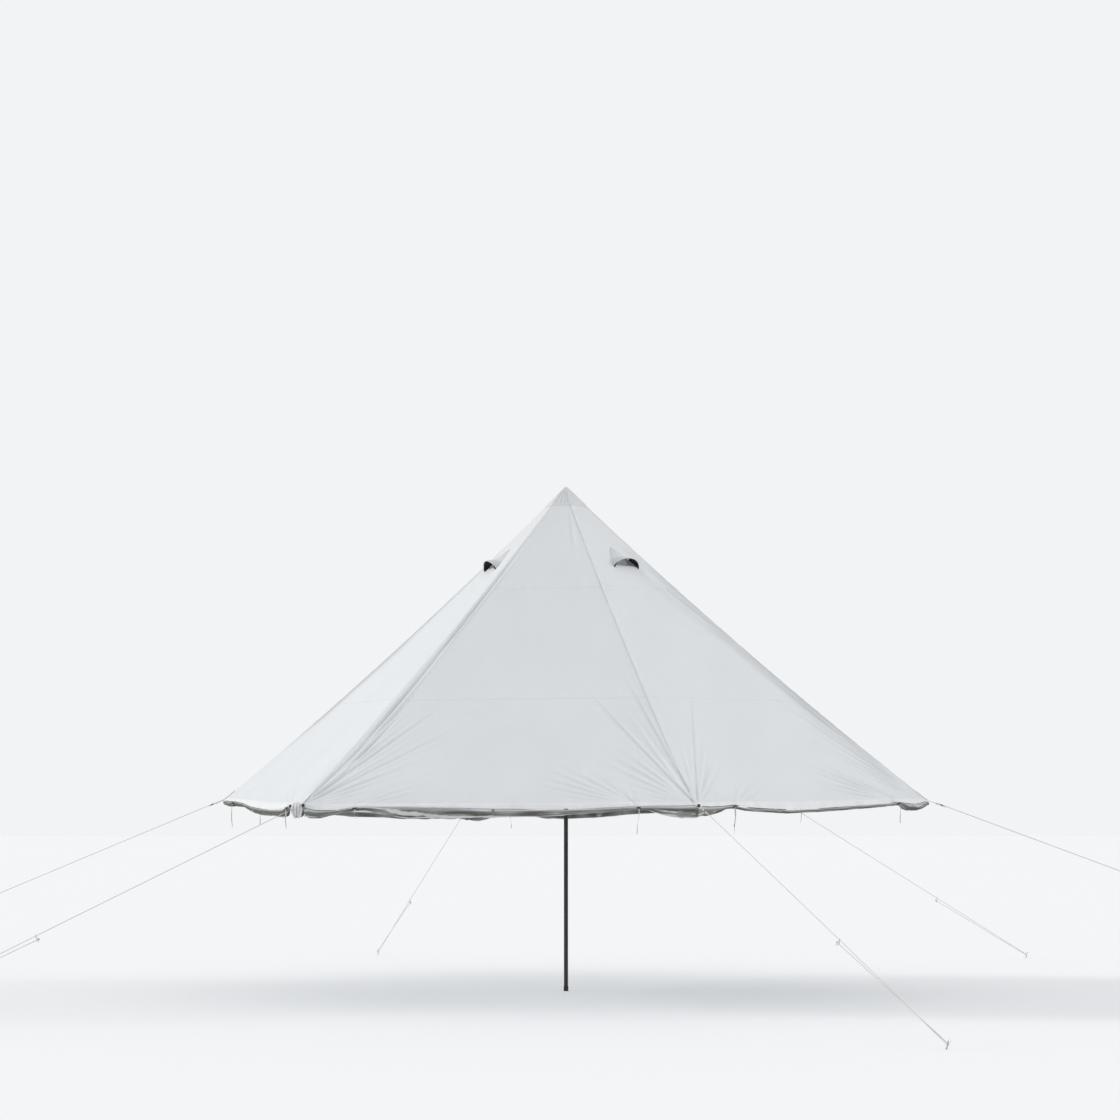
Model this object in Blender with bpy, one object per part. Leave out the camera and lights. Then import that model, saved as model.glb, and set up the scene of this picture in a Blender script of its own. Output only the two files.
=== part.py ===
"""A six-sided canopy tent on one centre pole, with its walls rolled up and tied under the eaves.

Six roof panels run from a cap on the pole down to the eaves. A guy rope holds each corner: it starts
at a ring on a webbing tab, runs through a slider, goes round a ground peg and comes back to the slider.
The origin is on the ground at the middle of the pole's foot, +Z is up, and the front panel faces -Y.
Everything is in metres.
"""

import math

import bmesh
import bpy
from mathutils import Vector

# The gap that is left between pieces that touch
GAP = 0.0003

# The roof. Heights are above the ground, and reaches are from the pole's axis
ROOF_TOP_HEIGHT = 4.80
ROOF_TOP_REACH = 0.016
EAVE_HEIGHT = 1.76
EAVE_REACH = 3.42
ROOF_THICKNESS = 0.004
RIDGE_SAG = 0.055
EAVE_DROOP = 0.053
PANEL_COUNT = 6

# The corners as pitched: azimuth in degrees from the front towards the right, how far the eave is
# above or below its mean height, the peg's reach, and the degrees that the peg is off the corner's line
CORNERS = {
    "front_right": (30.0, -0.043, 6.91, 4.0),
    "right": (90.0, 0.024, 8.06, 0.0),
    "back_right": (150.0, 0.060, 8.35, 0.3),
    "back_left": (210.0, -0.043, 7.39, -0.3),
    "left": (270.0, 0.048, 7.87, 0.4),
    "front_left": (330.0, -0.048, 7.82, -0.6),
}

# Each roof side, with the corner at its left end and at its right end as seen from outside
SIDES = {
    "front": ("front_left", "front_right"),
    "right_front": ("front_right", "right"),
    "right_back": ("right", "back_right"),
    "back": ("back_right", "back_left"),
    "left_back": ("back_left", "left"),
    "left_front": ("left", "front_left"),
}

# The cap over the pole, measured down the ridge
CAP_LENGTH = 0.27
CAP_THICKNESS = 0.004

# The hooded vents, on the four slanting sides. The mouth's distance is down the panel from its top
VENT_SIDES = ("right_front", "right_back", "left_back", "left_front")
VENT_MOUTH_DISTANCE = 1.10
VENT_MARGIN = 0.08
HOOD_WIDTH = 0.335
HOOD_RISE = 0.092
HOOD_LENGTH = 0.28
HOOD_LEAN = 0.25
HOOD_THICKNESS = 0.004
HOLE_INSET = 0.035
NETTING_THICKNESS = 0.002

# The walls, rolled up under the eaves. Shares are of a side's length. A roll is widest where it is
# highest, and its lower part is tucked further in under the roof than its upper part
TIE_SHARE = 0.145
ROLL_HEIGHT = 0.095
ROLL_HEIGHT_TIE = 0.024
ROLL_WIDTH = 0.076
ROLL_WIDTH_TIE = 0.050
ROLL_INSET = 0.010
ROLL_TUCK = 0.022
ROLL_SQUARENESS = 2.6
ROLL_SIDES = 10

# How the hem and the roll hang between two corners, on the three sides that the photo shows. The hem's
# drop is a share of EAVE_DROOP and the roll's height below it a share of ROLL_HEIGHT, at each of the
# columns of eave_columns() from left to right
EAVE_SHAPES = {
    "front": (
        (0, 0.64, 0.57, 0.08, 0.08, 0.04, 0.06, 0.23, 0.45, 0.55, 0.45, 0.26, 0.15, 0.15, 0.06, 0.08, 0),
        (0.90, 0.66, 0.30, 0, 0, 0.55, 1.0, 0.98, 0.66, 0.50, 0.38, 0.29, 0, 0, 0.57, 0.88, 0.97),
    ),
    "right_front": (
        (0, 0.28, 0.23, 0.06, 0.06, 0.47, 0.72, 1.0, 0.91, 0.68, 0.45, 0.28, 0.08, 0.08, 0.38, 0.42, 0),
        (0.97, 0.76, 0.47, 0, 0, 0.27, 0.28, 0.30, 0.28, 0.27, 0.27, 0.26, 0, 0, 0.58, 0.61, 0.39),
    ),
    "left_front": (
        (0, 0.09, 0.15, 0.11, 0.11, 0.15, 0.28, 0.75, 0.94, 0.94, 0.72, 0.47, 0.19, 0.19, 0.26, 0.38, 0),
        (0.42, 0.44, 0.51, 0, 0, 0.34, 0.30, 0.47, 0.57, 0.51, 0.67, 0.74, 0, 0, 0.36, 0.53, 0.90),
    ),
}

# The shape that each side has, and whether it is mirrored. The sides at the back aren't seen
SIDE_SHAPES = {
    "front": ("front", False),
    "right_front": ("right_front", False),
    "right_back": ("right_front", True),
    "back": ("front", True),
    "left_back": ("left_front", True),
    "left_front": ("left_front", False),
}

# The straps that tie the rolls up
STRAP_WIDTH = 0.020
STRAP_THICKNESS = 0.002

# The gathered edge of the wall, which hangs at one corner between two rolls
GATHER_CORNER = "front_left"
GATHER_WIDTH = 0.085
GATHER_DROP = 0.090
GATHER_NECK = 0.45

# The webbing tab and the ring at each corner
TAB_LENGTH_ON_RIDGE = 0.14
TAB_LENGTH_FREE = 0.050
TAB_WIDTH = 0.025
TAB_THICKNESS = 0.003
RING_WIRE_RADIUS = 0.0025
RING_BEND_RADIUS = 0.006
RING_LENGTH = 0.034

# The guy ropes and their sliders. The share is of the way from the ring to the peg
ROPE_RADIUS = 0.003
ROPE_TAIL = 0.070
RUNNER_SHARE = 0.60
RUNNER_HOLE_SPACING = 0.033
RUNNER_LENGTH = 0.056
RUNNER_WIDTH = 0.014
RUNNER_THICKNESS = 0.009
KNOT_SWELL = 1.9
KNOT_LENGTH = 0.014

# The part of each ground peg that stands above the ground
PEG_RADIUS = 0.005
PEG_NECK_HEIGHT = 0.035
PEG_RISE_ABOVE_ROPE = 0.022
PEG_HOOK_RADIUS = 0.014

# The centre pole, in nested sections
POLE_RADIUS = 0.020
POLE_WALL = 0.002
POLE_SECTIONS = ("pole_lower", "pole_middle", "pole_upper")
POLE_SPIGOT_LENGTH = 0.12
POLE_HEADROOM = 0.006
POLE_TIP_RADIUS = 0.006
POLE_TIP_COLLAR = 0.012
POLE_TIP_STEM = 0.060
FOOT_WALL = 0.0025
FOOT_FLOOR = 0.005
FOOT_HEIGHT = 0.045

SIDE_ANGLE = 2 * math.pi / PANEL_COUNT
UP = Vector((0, 0, 1))


def clear_scene():
    for old in list(bpy.data.objects):
        bpy.data.objects.remove(old, do_unlink=True)


def plain_material(name, colour, roughness, metallic=0.0):
    material = bpy.data.materials.new(name)
    material.use_nodes = True
    shader = material.node_tree.nodes["Principled BSDF"]
    shader.inputs["Base Color"].default_value = (*colour, 1.0)
    shader.inputs["Roughness"].default_value = roughness
    shader.inputs["Metallic"].default_value = metallic
    return material


def canvas_material():
    return plain_material("white_canvas", (0.72, 0.75, 0.76), 0.85)


def webbing_material():
    return plain_material("grey_webbing", (0.45, 0.47, 0.48), 0.8)


def steel_material():
    return plain_material("galvanised_steel", (0.55, 0.56, 0.57), 0.35, 1.0)


def rope_material():
    return plain_material("pale_rope", (0.66, 0.65, 0.60), 0.8)


def runner_material():
    return plain_material("pale_slider", (0.78, 0.78, 0.76), 0.5)


def pole_material():
    return plain_material("black_pole_paint", (0.008, 0.008, 0.009), 0.35)


def rubber_material():
    return plain_material("black_rubber", (0.015, 0.015, 0.015), 0.7)


def object_from_bmesh(name, bm, material, smooth_angle=None):
    """Turn a bmesh into an object whose faces point outwards."""
    bmesh.ops.recalc_face_normals(bm, faces=bm.faces)
    mesh = bpy.data.meshes.new(name)
    bm.to_mesh(mesh)
    bm.free()
    if smooth_angle is not None:
        mesh.shade_smooth()
        mesh.set_sharp_from_angle(angle=math.radians(smooth_angle))
    piece = bpy.data.objects.new(name, mesh)
    piece.data.materials.append(material)
    bpy.context.collection.objects.link(piece)
    return piece


def add_shell(bm, outer_rows, inner_rows):
    """Add the closed solid between two like grids of points, whose first rows may have their ends only."""
    skins = [[[bm.verts.new(p) for p in row] for row in rows] for rows in (outer_rows, inner_rows)]
    for skin in skins:
        for upper, lower in zip(skin, skin[1:]):
            if len(upper) < len(lower):
                bm.faces.new((upper[0], *lower, upper[-1]))
                continue
            for j in range(len(upper) - 1):
                bm.faces.new((upper[j], lower[j], lower[j + 1], upper[j + 1]))
    outer, inner = skins
    for i in range(len(outer) - 1):
        for j in (0, -1):
            bm.faces.new((outer[i][j], inner[i][j], inner[i + 1][j], outer[i + 1][j]))
    for i in (0, -1):
        for j in range(len(outer[i]) - 1):
            bm.faces.new((outer[i][j], outer[i][j + 1], inner[i][j + 1], inner[i][j]))


def add_loft(bm, rings, closed=False):
    """Add a solid through rings of points: with flat ends, or closed on itself."""
    loops = [[bm.verts.new(p) for p in ring] for ring in rings]
    count = len(loops[0])
    pairs = list(zip(loops, loops[1:]))
    if closed:
        pairs.append((loops[-1], loops[0]))
    for first, second in pairs:
        for i in range(count):
            j = (i + 1) % count
            bm.faces.new((first[i], first[j], second[j], second[i]))
    if not closed:
        bm.faces.new(loops[0])
        bm.faces.new(loops[-1])


def add_plate(bm, outline, holes, depth):
    """Add a plate: a flat outline with holes, pushed out along depth."""
    edges = []
    for points in (outline, *holes):
        loop = [bm.verts.new(p) for p in points]
        edges += [bm.edges.new((a, b)) for a, b in zip(loop, loop[1:] + loop[:1])]
    filled = bmesh.ops.triangle_fill(bm, use_beauty=True, edges=edges)
    faces = [g for g in filled["geom"] if isinstance(g, bmesh.types.BMFace)]
    raised = bmesh.ops.extrude_face_region(bm, geom=faces, use_keep_orig=True)
    moved = [g for g in raised["geom"] if isinstance(g, bmesh.types.BMVert)]
    bmesh.ops.translate(bm, vec=depth, verts=moved)


def add_turned(bm, profile, segments):
    """Add a solid of revolution about the Z axis: profile is a closed outline of (radius, height)."""
    turns = [2 * math.pi * k / segments for k in range(segments)]
    rings = [[Vector((r * math.cos(a), r * math.sin(a), z)) for r, z in profile] for a in turns]
    add_loft(bm, rings, closed=True)


def add_turned_plug(bm, profile, segments):
    """Add a solid turned about the Z axis that has no bore: profile runs up its outer side."""
    turns = [2 * math.pi * k / segments for k in range(segments)]
    add_loft(bm, [[Vector((r * math.cos(a), r * math.sin(a), z)) for a in turns] for r, z in profile])


def ring_round(centre, along, radius, sides, start):
    """The points of a circle about the direction along, the first one towards start."""
    first = (start - along * start.dot(along)).normalized()
    second = along.cross(first)
    turns = [2 * math.pi * k / sides for k in range(sides)]
    return [centre + first * (radius * math.cos(a)) + second * (radius * math.sin(a)) for a in turns]


def direction(azimuth):
    """The level unit vector at an azimuth in radians from the front towards the right."""
    return Vector((math.sin(azimuth), -math.cos(azimuth), 0))


def corner_azimuth(corner):
    return math.radians(CORNERS[corner][0])


def corner_outward(corner):
    return direction(corner_azimuth(corner))


def side_outward(side):
    left, _ = SIDES[side]
    return direction(corner_azimuth(left) + SIDE_ANGLE / 2)


def side_rightward(side):
    return UP.cross(side_outward(side))


def ridge_ends(corner):
    """The top and the bottom of the straight line that a corner's ridge hangs below."""
    outward = corner_outward(corner)
    top = outward * ROOF_TOP_REACH + UP * ROOF_TOP_HEIGHT
    bottom = outward * EAVE_REACH + UP * (EAVE_HEIGHT + CORNERS[corner][1])
    return top, bottom


def ridge_normal(corner):
    """The outward normal of a ridge in its own upright plane."""
    top, bottom = ridge_ends(corner)
    level = corner_outward(corner)
    along = (bottom - top).normalized()
    return (level * -along.z + UP * along.dot(level)).normalized()


def ridge_length():
    return math.hypot(EAVE_REACH - ROOF_TOP_REACH, ROOF_TOP_HEIGHT - EAVE_HEIGHT)


def slant_length():
    """The length of a panel down its middle."""
    inner = math.cos(SIDE_ANGLE / 2)
    return math.hypot((EAVE_REACH - ROOF_TOP_REACH) * inner, ROOF_TOP_HEIGHT - EAVE_HEIGHT)


def roof_rows():
    """The shares of the way down the roof at which its facets bend. A vent lies between two of them."""
    below = (VENT_MOUTH_DISTANCE + VENT_MARGIN) / slant_length()
    above = (VENT_MOUTH_DISTANCE - HOOD_LENGTH - VENT_MARGIN) / slant_length()
    lower_rows = 6
    rows = [0.0, (CAP_LENGTH / ridge_length() + above) / 2, above]
    return rows + [below + (1.0 - below) * k / lower_rows for k in range(lower_rows + 1)]


def strap_edges():
    """The shares of the side at which the two straps start and end."""
    half = STRAP_WIDTH / 2 / EAVE_REACH
    return [tie + edge for tie in (TIE_SHARE, 1 - TIE_SHARE) for edge in (-half, half)]


def eave_columns():
    """The shares of the way along an eave at which the hem and the roll have their points."""
    left = [0.0, TIE_SHARE * 0.3, TIE_SHARE * 0.65, *strap_edges()[:2], TIE_SHARE + 0.05, 0.27, 0.38]
    return left + [0.5] + [1.0 - share for share in reversed(left)]


def eave_value(side, row, share):
    """The hem's drop (row 0) or the roll's height (row 1) at a share of the side, as a share of its size."""
    shape, mirrored = SIDE_SHAPES[side]
    values = EAVE_SHAPES[shape][row]
    if mirrored:
        values = values[::-1]
    columns = eave_columns()
    i = max(k for k in range(len(columns) - 1) if columns[k] <= share + 1e-9)
    part = (share - columns[i]) / (columns[i + 1] - columns[i])
    return values[i] + (values[i + 1] - values[i]) * part


def hem_drop(side, share):
    """How far the hem hangs below the straight line between its corners."""
    return EAVE_DROOP * eave_value(side, 0, share)


def bent_ridge_point(corner, share):
    """A point on a ridge as it really sags."""
    top, bottom = ridge_ends(corner)
    return top.lerp(bottom, share) - ridge_normal(corner) * (RIDGE_SAG * 4 * share * (1 - share))


def ridge_point(corner, share):
    """A point on a ridge that runs straight from row to row, as the panels' facets do."""
    rows = roof_rows()
    i = max(k for k in range(len(rows) - 1) if rows[k] <= share + 1e-9)
    part = (share - rows[i]) / (rows[i + 1] - rows[i])
    return bent_ridge_point(corner, rows[i]).lerp(bent_ridge_point(corner, rows[i + 1]), part)


def face_normal(side):
    """The outward normal of a roof side, level corners assumed."""
    rise = ROOF_TOP_HEIGHT - EAVE_HEIGHT
    run = (EAVE_REACH - ROOF_TOP_REACH) * math.cos(SIDE_ANGLE / 2)
    return (side_outward(side) * rise + UP * run).normalized()


def mitre(side, corner):
    """How much further a ridge moves than its faces, when they all move out by the same distance."""
    return 1.0 / face_normal(side).dot(ridge_normal(corner))


def roof_point(side, across, down, depth=0.0):
    """A point of a roof side: across is 0 at its left ridge and 1 at its right one, and depth is inwards."""
    left, right = SIDES[side]
    ends = []
    for corner in (left, right):
        inward = ridge_normal(corner) * (-depth * mitre(side, corner))
        ends.append(ridge_point(corner, down) + inward)
    point = ends[0].lerp(ends[1], across)
    last_row = roof_rows()[-2]
    low_share = max(0.0, (down - last_row) / (1.0 - last_row))
    return point - UP * (hem_drop(side, across) * low_share)


def panel_top_share():
    """How far down the ridge the panels start, so that their edges clear the pole's tip."""
    level = POLE_RADIUS + POLE_HEADROOM - ROOF_TOP_REACH
    return level / (EAVE_REACH - ROOF_TOP_REACH)


def make_roof_panel(side):
    """A panel of flat strips, with points along its hem, where it droops between the corners."""
    bm = bmesh.new()
    rows = [panel_top_share()] + roof_rows()[1:]
    rightward = side_rightward(side)

    def grid(depth):
        made = []
        for down in rows:
            columns = eave_columns() if down >= rows[-2] else (0.0, 1.0)
            row = [roof_point(side, across, down, depth) for across in columns]
            row[0] += rightward * (GAP / 2)
            row[-1] -= rightward * (GAP / 2)
            made.append(row)
        return made

    add_shell(bm, grid(0.0), grid(ROOF_THICKNESS))
    return object_from_bmesh(f"roof_{side}", bm, canvas_material())


def vent_frame(side):
    """The middle of a vent's mouth on the roof's outer face, and the directions across, up the roof and out."""
    mouth = VENT_MOUTH_DISTANCE / slant_length()
    above, below = roof_rows()[2:4]
    upward = (roof_point(side, 0.5, above) - roof_point(side, 0.5, below)).normalized()
    across = (roof_point(side, 1.0, mouth) - roof_point(side, 0.0, mouth)).normalized()
    return roof_point(side, 0.5, mouth), across, upward, across.cross(upward)


def hood_half_width(along):
    """Half the hood's width at a share of its length from the mouth."""
    return HOOD_WIDTH / 2 * (1 - along**1.4)


def vent_hole_outline(side, inset, height):
    """The outline of the hole under a hood, at a height over the roof's outer face."""
    centre, across, upward, outward = vent_frame(side)
    steps = [0.0, 0.25, 0.5, 0.7, 0.85]
    usable = HOOD_LENGTH - 2 * inset
    right = [(hood_half_width(s) - inset * (1 - 0.5 * s), inset + usable * s) for s in steps]
    left = [(-x, y) for x, y in reversed(right)]
    return [centre + across * x + upward * y + outward * height for x, y in right + left]


def cut_vent_hole(panel, side):
    """Cut the hole under the hood through a roof panel."""
    over = 0.03
    bm = bmesh.new()
    _, _, _, outward = vent_frame(side)
    add_plate(bm, vent_hole_outline(side, HOLE_INSET, over), [], outward * (-2 * over))
    cutter = object_from_bmesh(f"cutter_{side}", bm, canvas_material())
    cutter.hide_render = True
    cutter.display_type = "WIRE"
    cut = panel.modifiers.new("vent_hole", "BOOLEAN")
    cut.operation = "DIFFERENCE"
    cut.solver = "EXACT"
    cut.object = cutter


def make_vent_hood(side):
    """A hood like half a cone over a floor of netting, with its wide mouth facing down the slope."""
    bm = bmesh.new()
    centre, across, upward, outward = vent_frame(side)
    steps = [0.0, 0.2, 0.4, 0.6, 0.8, 0.93]
    arc = [math.pi * k / 10 for k in range(11)]

    def rings(inset, floor):
        made = []
        for s in steps:
            half_width = max(hood_half_width(s), 2.5 * HOOD_THICKNESS) - inset
            rise = max(HOOD_RISE * (1 - s), 2.5 * HOOD_THICKNESS) - inset
            ring = []
            for angle in arc:
                height = max(rise * math.sin(angle), floor)
                along = HOOD_LENGTH * s + HOOD_LEAN * height * (1 - s)
                point = centre + across * (half_width * math.cos(angle)) + upward * along
                ring.append(point + outward * (height + GAP))
            made.append(ring)
        return made

    outer = rings(0.0, 0.0)
    inner = rings(HOOD_THICKNESS, NETTING_THICKNESS)
    add_loft(bm, list(reversed(inner[:-1])) + outer)
    return object_from_bmesh(f"vent_hood_{side}", bm, canvas_material(), 50)


def cap_ring(down, height):
    """Six points on the ridges, moved out from the roof's faces by height."""
    ring = []
    for side, (left, _) in SIDES.items():
        ring.append(ridge_point(left, down) + ridge_normal(left) * (height * mitre(side, left)))
    return ring


def make_apex_cap():
    """The reinforced cap over the pole: a blunt six-sided shell that lies on the tops of the panels."""
    bm = bmesh.new()
    rows = [CAP_LENGTH / ridge_length(), panel_top_share(), 0.0]
    inner = [cap_ring(down, GAP) for down in rows]
    outer = [cap_ring(down, GAP + CAP_THICKNESS) for down in rows]
    add_loft(bm, list(reversed(inner)) + outer)
    return object_from_bmesh("apex_cap", bm, canvas_material())


def cap_inner_height():
    return min(p.z for p in cap_ring(0.0, GAP))


def roll_size(side, share):
    """The roll's width and height at a share of the side. It is pinched at its ties."""
    edges = strap_edges()
    tied = edges[0] <= share <= edges[1] or edges[2] <= share <= edges[3]
    height = ROLL_HEIGHT_TIE if tied else max(ROLL_HEIGHT_TIE, ROLL_HEIGHT * eave_value(side, 1, share))
    swell = (height - ROLL_HEIGHT_TIE) / (ROLL_HEIGHT - ROLL_HEIGHT_TIE)
    return ROLL_WIDTH_TIE + (ROLL_WIDTH - ROLL_WIDTH_TIE) * swell, height


def roll_outline(width, height):
    """The roll's section: points (outwards, upwards) from the hem, with a flat edge along its top."""
    points = []
    reach = math.cos(math.pi / ROLL_SIDES)
    tuck = ROLL_TUCK * height / ROLL_HEIGHT
    for k in range(ROLL_SIDES):
        angle = math.pi * (2 * k + 1) / ROLL_SIDES
        x, y = math.cos(angle), math.sin(angle)
        x = math.copysign((abs(x) / reach) ** (2 / ROLL_SQUARENESS), x)
        y = math.copysign((abs(y) / reach) ** (2 / ROLL_SQUARENESS), y)
        points.append((x * width / 2 - ROLL_INSET - tuck * (1 - y) / 2, (y - 1) * height / 2))
    return points


def roll_point(side, share, out, up):
    """A point beside the hem at a share of the side. Sections turn towards the corners' own planes."""
    hem = roof_point(side, share, 1.0, ROOF_THICKNESS)
    sideways = (2 * share - 1) * math.tan(SIDE_ANGLE / 2) * out
    return hem + side_outward(side) * out + side_rightward(side) * sideways + UP * (up - GAP)


def roll_ends(side):
    """The shares of the side at which its roll starts and ends."""
    trims = []
    for corner in SIDES[side]:
        room = GATHER_WIDTH / 2 + 0.01 if corner == GATHER_CORNER else GAP
        trims.append(room / EAVE_REACH)
    return trims[0], 1 - trims[1]


def strapped_outline():
    """The roll's section under a strap: thicker all round, apart from the flat edge under the hem."""
    outline = roll_outline(ROLL_WIDTH_TIE, ROLL_HEIGHT_TIE)
    under_hem = [k for k, (_, up) in enumerate(outline) if up > -GAP]
    grown = []
    for k, (out, up) in enumerate(outline):
        if k in under_hem:
            grown.append((out, up))
            continue
        before, after = Vector(outline[k - 1]), Vector(outline[(k + 1) % ROLL_SIDES])
        edge = after - before
        normal = Vector((edge.y, -edge.x)).normalized()
        grown.append((out + normal.x * STRAP_THICKNESS, min(up + normal.y * STRAP_THICKNESS, 0.0)))
    return grown


def make_wall_roll(side):
    """A rolled-up wall with the two straps that tie it."""
    bm = bmesh.new()
    start, end = roll_ends(side)
    shares = [start] + [s for s in eave_columns() if start < s < end] + [end]
    edges = strap_edges()
    rings = []
    for share in shares:
        plain = roll_outline(*roll_size(side, share))
        outlines = [plain]
        if share in (edges[0], edges[2]):
            outlines = [plain, strapped_outline()]
        if share in (edges[1], edges[3]):
            outlines = [strapped_outline(), plain]
        rings += [[roll_point(side, share, out, up) for out, up in outline] for outline in outlines]
    add_loft(bm, rings)
    bmesh.ops.remove_doubles(bm, verts=bm.verts, dist=GAP / 10)
    return object_from_bmesh(f"wall_roll_{side}", bm, canvas_material(), 60)


def make_wall_gather():
    """The gathered edge of the wall, which hangs in soft folds at one corner."""
    bm = bmesh.new()
    side = next(name for name, corners in SIDES.items() if corners[1] == GATHER_CORNER)
    under = roof_point(side, 1.0, 1.0, ROOF_THICKNESS)
    neck = GATHER_NECK * GATHER_WIDTH / 2 / EAVE_REACH
    drops = [hem_drop(name, 1 - neck if corners[1] == GATHER_CORNER else neck)
             for name, corners in SIDES.items() if GATHER_CORNER in corners]
    clearance = GAP + max(drops)
    outward = corner_outward(GATHER_CORNER)
    lobes = 4
    sides = 16
    rings = []
    for level, swell in ((0.0, GATHER_NECK), (0.25, 0.85), (0.55, 1.0), (0.85, 0.8), (1.0, 0.45)):
        centre = under - outward * (GATHER_WIDTH * 0.18) - UP * (clearance + GATHER_DROP * level)
        ring = ring_round(centre, UP, 1.0, sides, outward)
        folded = []
        for k, point in enumerate(ring):
            fold = 1 + 0.12 * math.cos(2 * math.pi * lobes * k / sides) * level
            folded.append(centre + (point - centre) * (GATHER_WIDTH / 2 * swell * fold / 1.12))
        rings.append(folded)
    add_loft(bm, rings)
    return object_from_bmesh("wall_gather", bm, canvas_material(), 60)


def peg_point(corner):
    """The middle of the rope's turn round a peg."""
    azimuth, _, reach, swing = CORNERS[corner]
    return direction(math.radians(azimuth + swing)) * reach + UP * PEG_NECK_HEIGHT


def tab_start(corner):
    """The end of the tab's run over the ridge, in the middle of the webbing's thickness."""
    lift = ridge_normal(corner) * (GAP + TAB_THICKNESS / 2)
    return ridge_point(corner, 1.0) + lift


def rope_frame(corner):
    """The rope's directions: along it to the peg, sideways, and upwards at right angles to both."""
    along = (peg_point(corner) - tab_start(corner)).normalized()
    sideways = along.cross(UP).normalized()
    return along, sideways, sideways.cross(along)


def eye_centre(corner):
    along, _, _ = rope_frame(corner)
    return tab_start(corner) + along * TAB_LENGTH_FREE


def ring_far_bar(corner):
    along, _, _ = rope_frame(corner)
    return eye_centre(corner) + along * RING_LENGTH


def make_corner_tab(corner):
    """A webbing tab that lies on the end of the ridge, and ends in a sewn eye past the eave."""
    bm = bmesh.new()
    along, sideways, upward = rope_frame(corner)
    bend = tab_start(corner)
    ridge_share = 1.0 - TAB_LENGTH_ON_RIDGE / ridge_length()
    start = ridge_point(corner, ridge_share) + (bend - ridge_point(corner, 1.0))
    up_ridge = (start - bend).normalized()
    lift = ridge_normal(corner) * (TAB_THICKNESS / 2)
    join = (lift.normalized() + upward).normalized() * (TAB_THICKNESS / 2)
    eye = eye_centre(corner)
    rim = RING_WIRE_RADIUS + TAB_THICKNESS / 2
    half_angle = math.asin(TAB_THICKNESS / 2 / rim)
    sweep = [math.pi - half_angle - 2 * (math.pi - half_angle) * k / 12 for k in range(13)]
    nose = [eye + along * (rim * math.cos(a)) + upward * (rim * math.sin(a)) for a in sweep]
    top = [bend + up_ridge * TAB_LENGTH_ON_RIDGE + lift, bend + join]
    bottom = [bend - join, bend + up_ridge * TAB_LENGTH_ON_RIDGE - lift]
    half = sideways * (TAB_WIDTH / 2)
    add_plate(bm, [p - half for p in top + nose + bottom], [], half * 2)
    tab = object_from_bmesh(f"corner_tab_{corner}", bm, webbing_material())
    sewn = tab.modifiers.new("ring", "BOOLEAN")
    sewn.operation = "UNION"
    sewn.solver = "EXACT"
    sewn.object = make_corner_ring(corner)
    return tab


def make_corner_ring(corner):
    """The wire ring that is sewn into the tab and takes the rope: a loop with four rounded corners."""
    bm = bmesh.new()
    along, sideways, upward = rope_frame(corner)
    half_width = TAB_WIDTH / 2 + RING_BEND_RADIUS
    centre = eye_centre(corner) + along * (RING_LENGTH / 2)
    half_length = RING_LENGTH / 2
    steps = 3
    places = []
    for quarter, (a, s) in enumerate(((-1, -1), (1, -1), (1, 1), (-1, 1))):
        middle = centre + along * (a * (half_length - RING_BEND_RADIUS))
        middle += sideways * (s * (half_width - RING_BEND_RADIUS))
        for k in range(steps + 1):
            angle = math.pi / 2 * (quarter + k / steps) + math.pi
            outwards = along * math.cos(angle) + sideways * math.sin(angle)
            places.append((middle + outwards * RING_BEND_RADIUS, outwards))
    rings = []
    for place, outwards in places:
        tangent = outwards.cross(upward)
        rings.append(ring_round(place, tangent, RING_WIRE_RADIUS, 6, upward))
    add_loft(bm, rings, closed=True)
    ring = object_from_bmesh(f"ring_of_{corner}", bm, steel_material())
    ring.hide_render = True
    ring.display_type = "WIRE"
    return ring


def rope_offset():
    """How far the rope lies from the middle of the bar that it turns round."""
    return RING_WIRE_RADIUS + GAP + ROPE_RADIUS


def rope_length(corner):
    """The distance from the ring's far bar to the middle of the rope's turn round the peg."""
    return (peg_point(corner) - ring_far_bar(corner)).length


def half_turn(centre, first, second, radius, steps=8):
    """Points on a half circle that starts towards first and passes through second."""
    turns = [math.pi * k / steps for k in range(steps + 1)]
    return [centre + first * (radius * math.cos(a)) + second * (radius * math.sin(a)) for a in turns]


def rope_route(corner):
    """The rope's points with their swell: round the ring, through the slider, round the peg and back."""
    along, sideways, upward = rope_frame(corner)
    ring = ring_far_bar(corner)
    peg = peg_point(corner)
    high = rope_offset()
    low = high - RUNNER_HOLE_SPACING
    turn = PEG_RADIUS + GAP + ROPE_RADIUS
    runner = rope_length(corner) * RUNNER_SHARE
    lead = 0.04
    points = [ring + along * ROPE_TAIL - upward * high]
    points += half_turn(ring, -upward, -along, high)
    points += [ring + along * (runner - lead) + upward * high, ring + along * (runner + lead) + upward * high]
    eases = (0.3, 0.6, 0.9)
    going_from, going_to = points[-1], peg + sideways * turn
    coming_from, coming_to = peg - sideways * turn, ring + along * (runner + lead) + upward * low
    points += [going_from.lerp(going_to, share) for share in eases]
    points += half_turn(peg, sideways, along, turn)
    points += [coming_from.lerp(coming_to, 1 - share) for share in reversed(eases)]
    points.append(coming_to)
    plain = [(point, 1.0) for point in points]
    exit_at = runner - RUNNER_THICKNESS / 2 - GAP
    for back, swell in ((0, 1.0), (0.001, KNOT_SWELL), (KNOT_LENGTH, KNOT_SWELL), (KNOT_LENGTH + 0.001, 1.0)):
        plain.append((ring + along * (exit_at - back) + upward * low, swell))
    return plain


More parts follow.
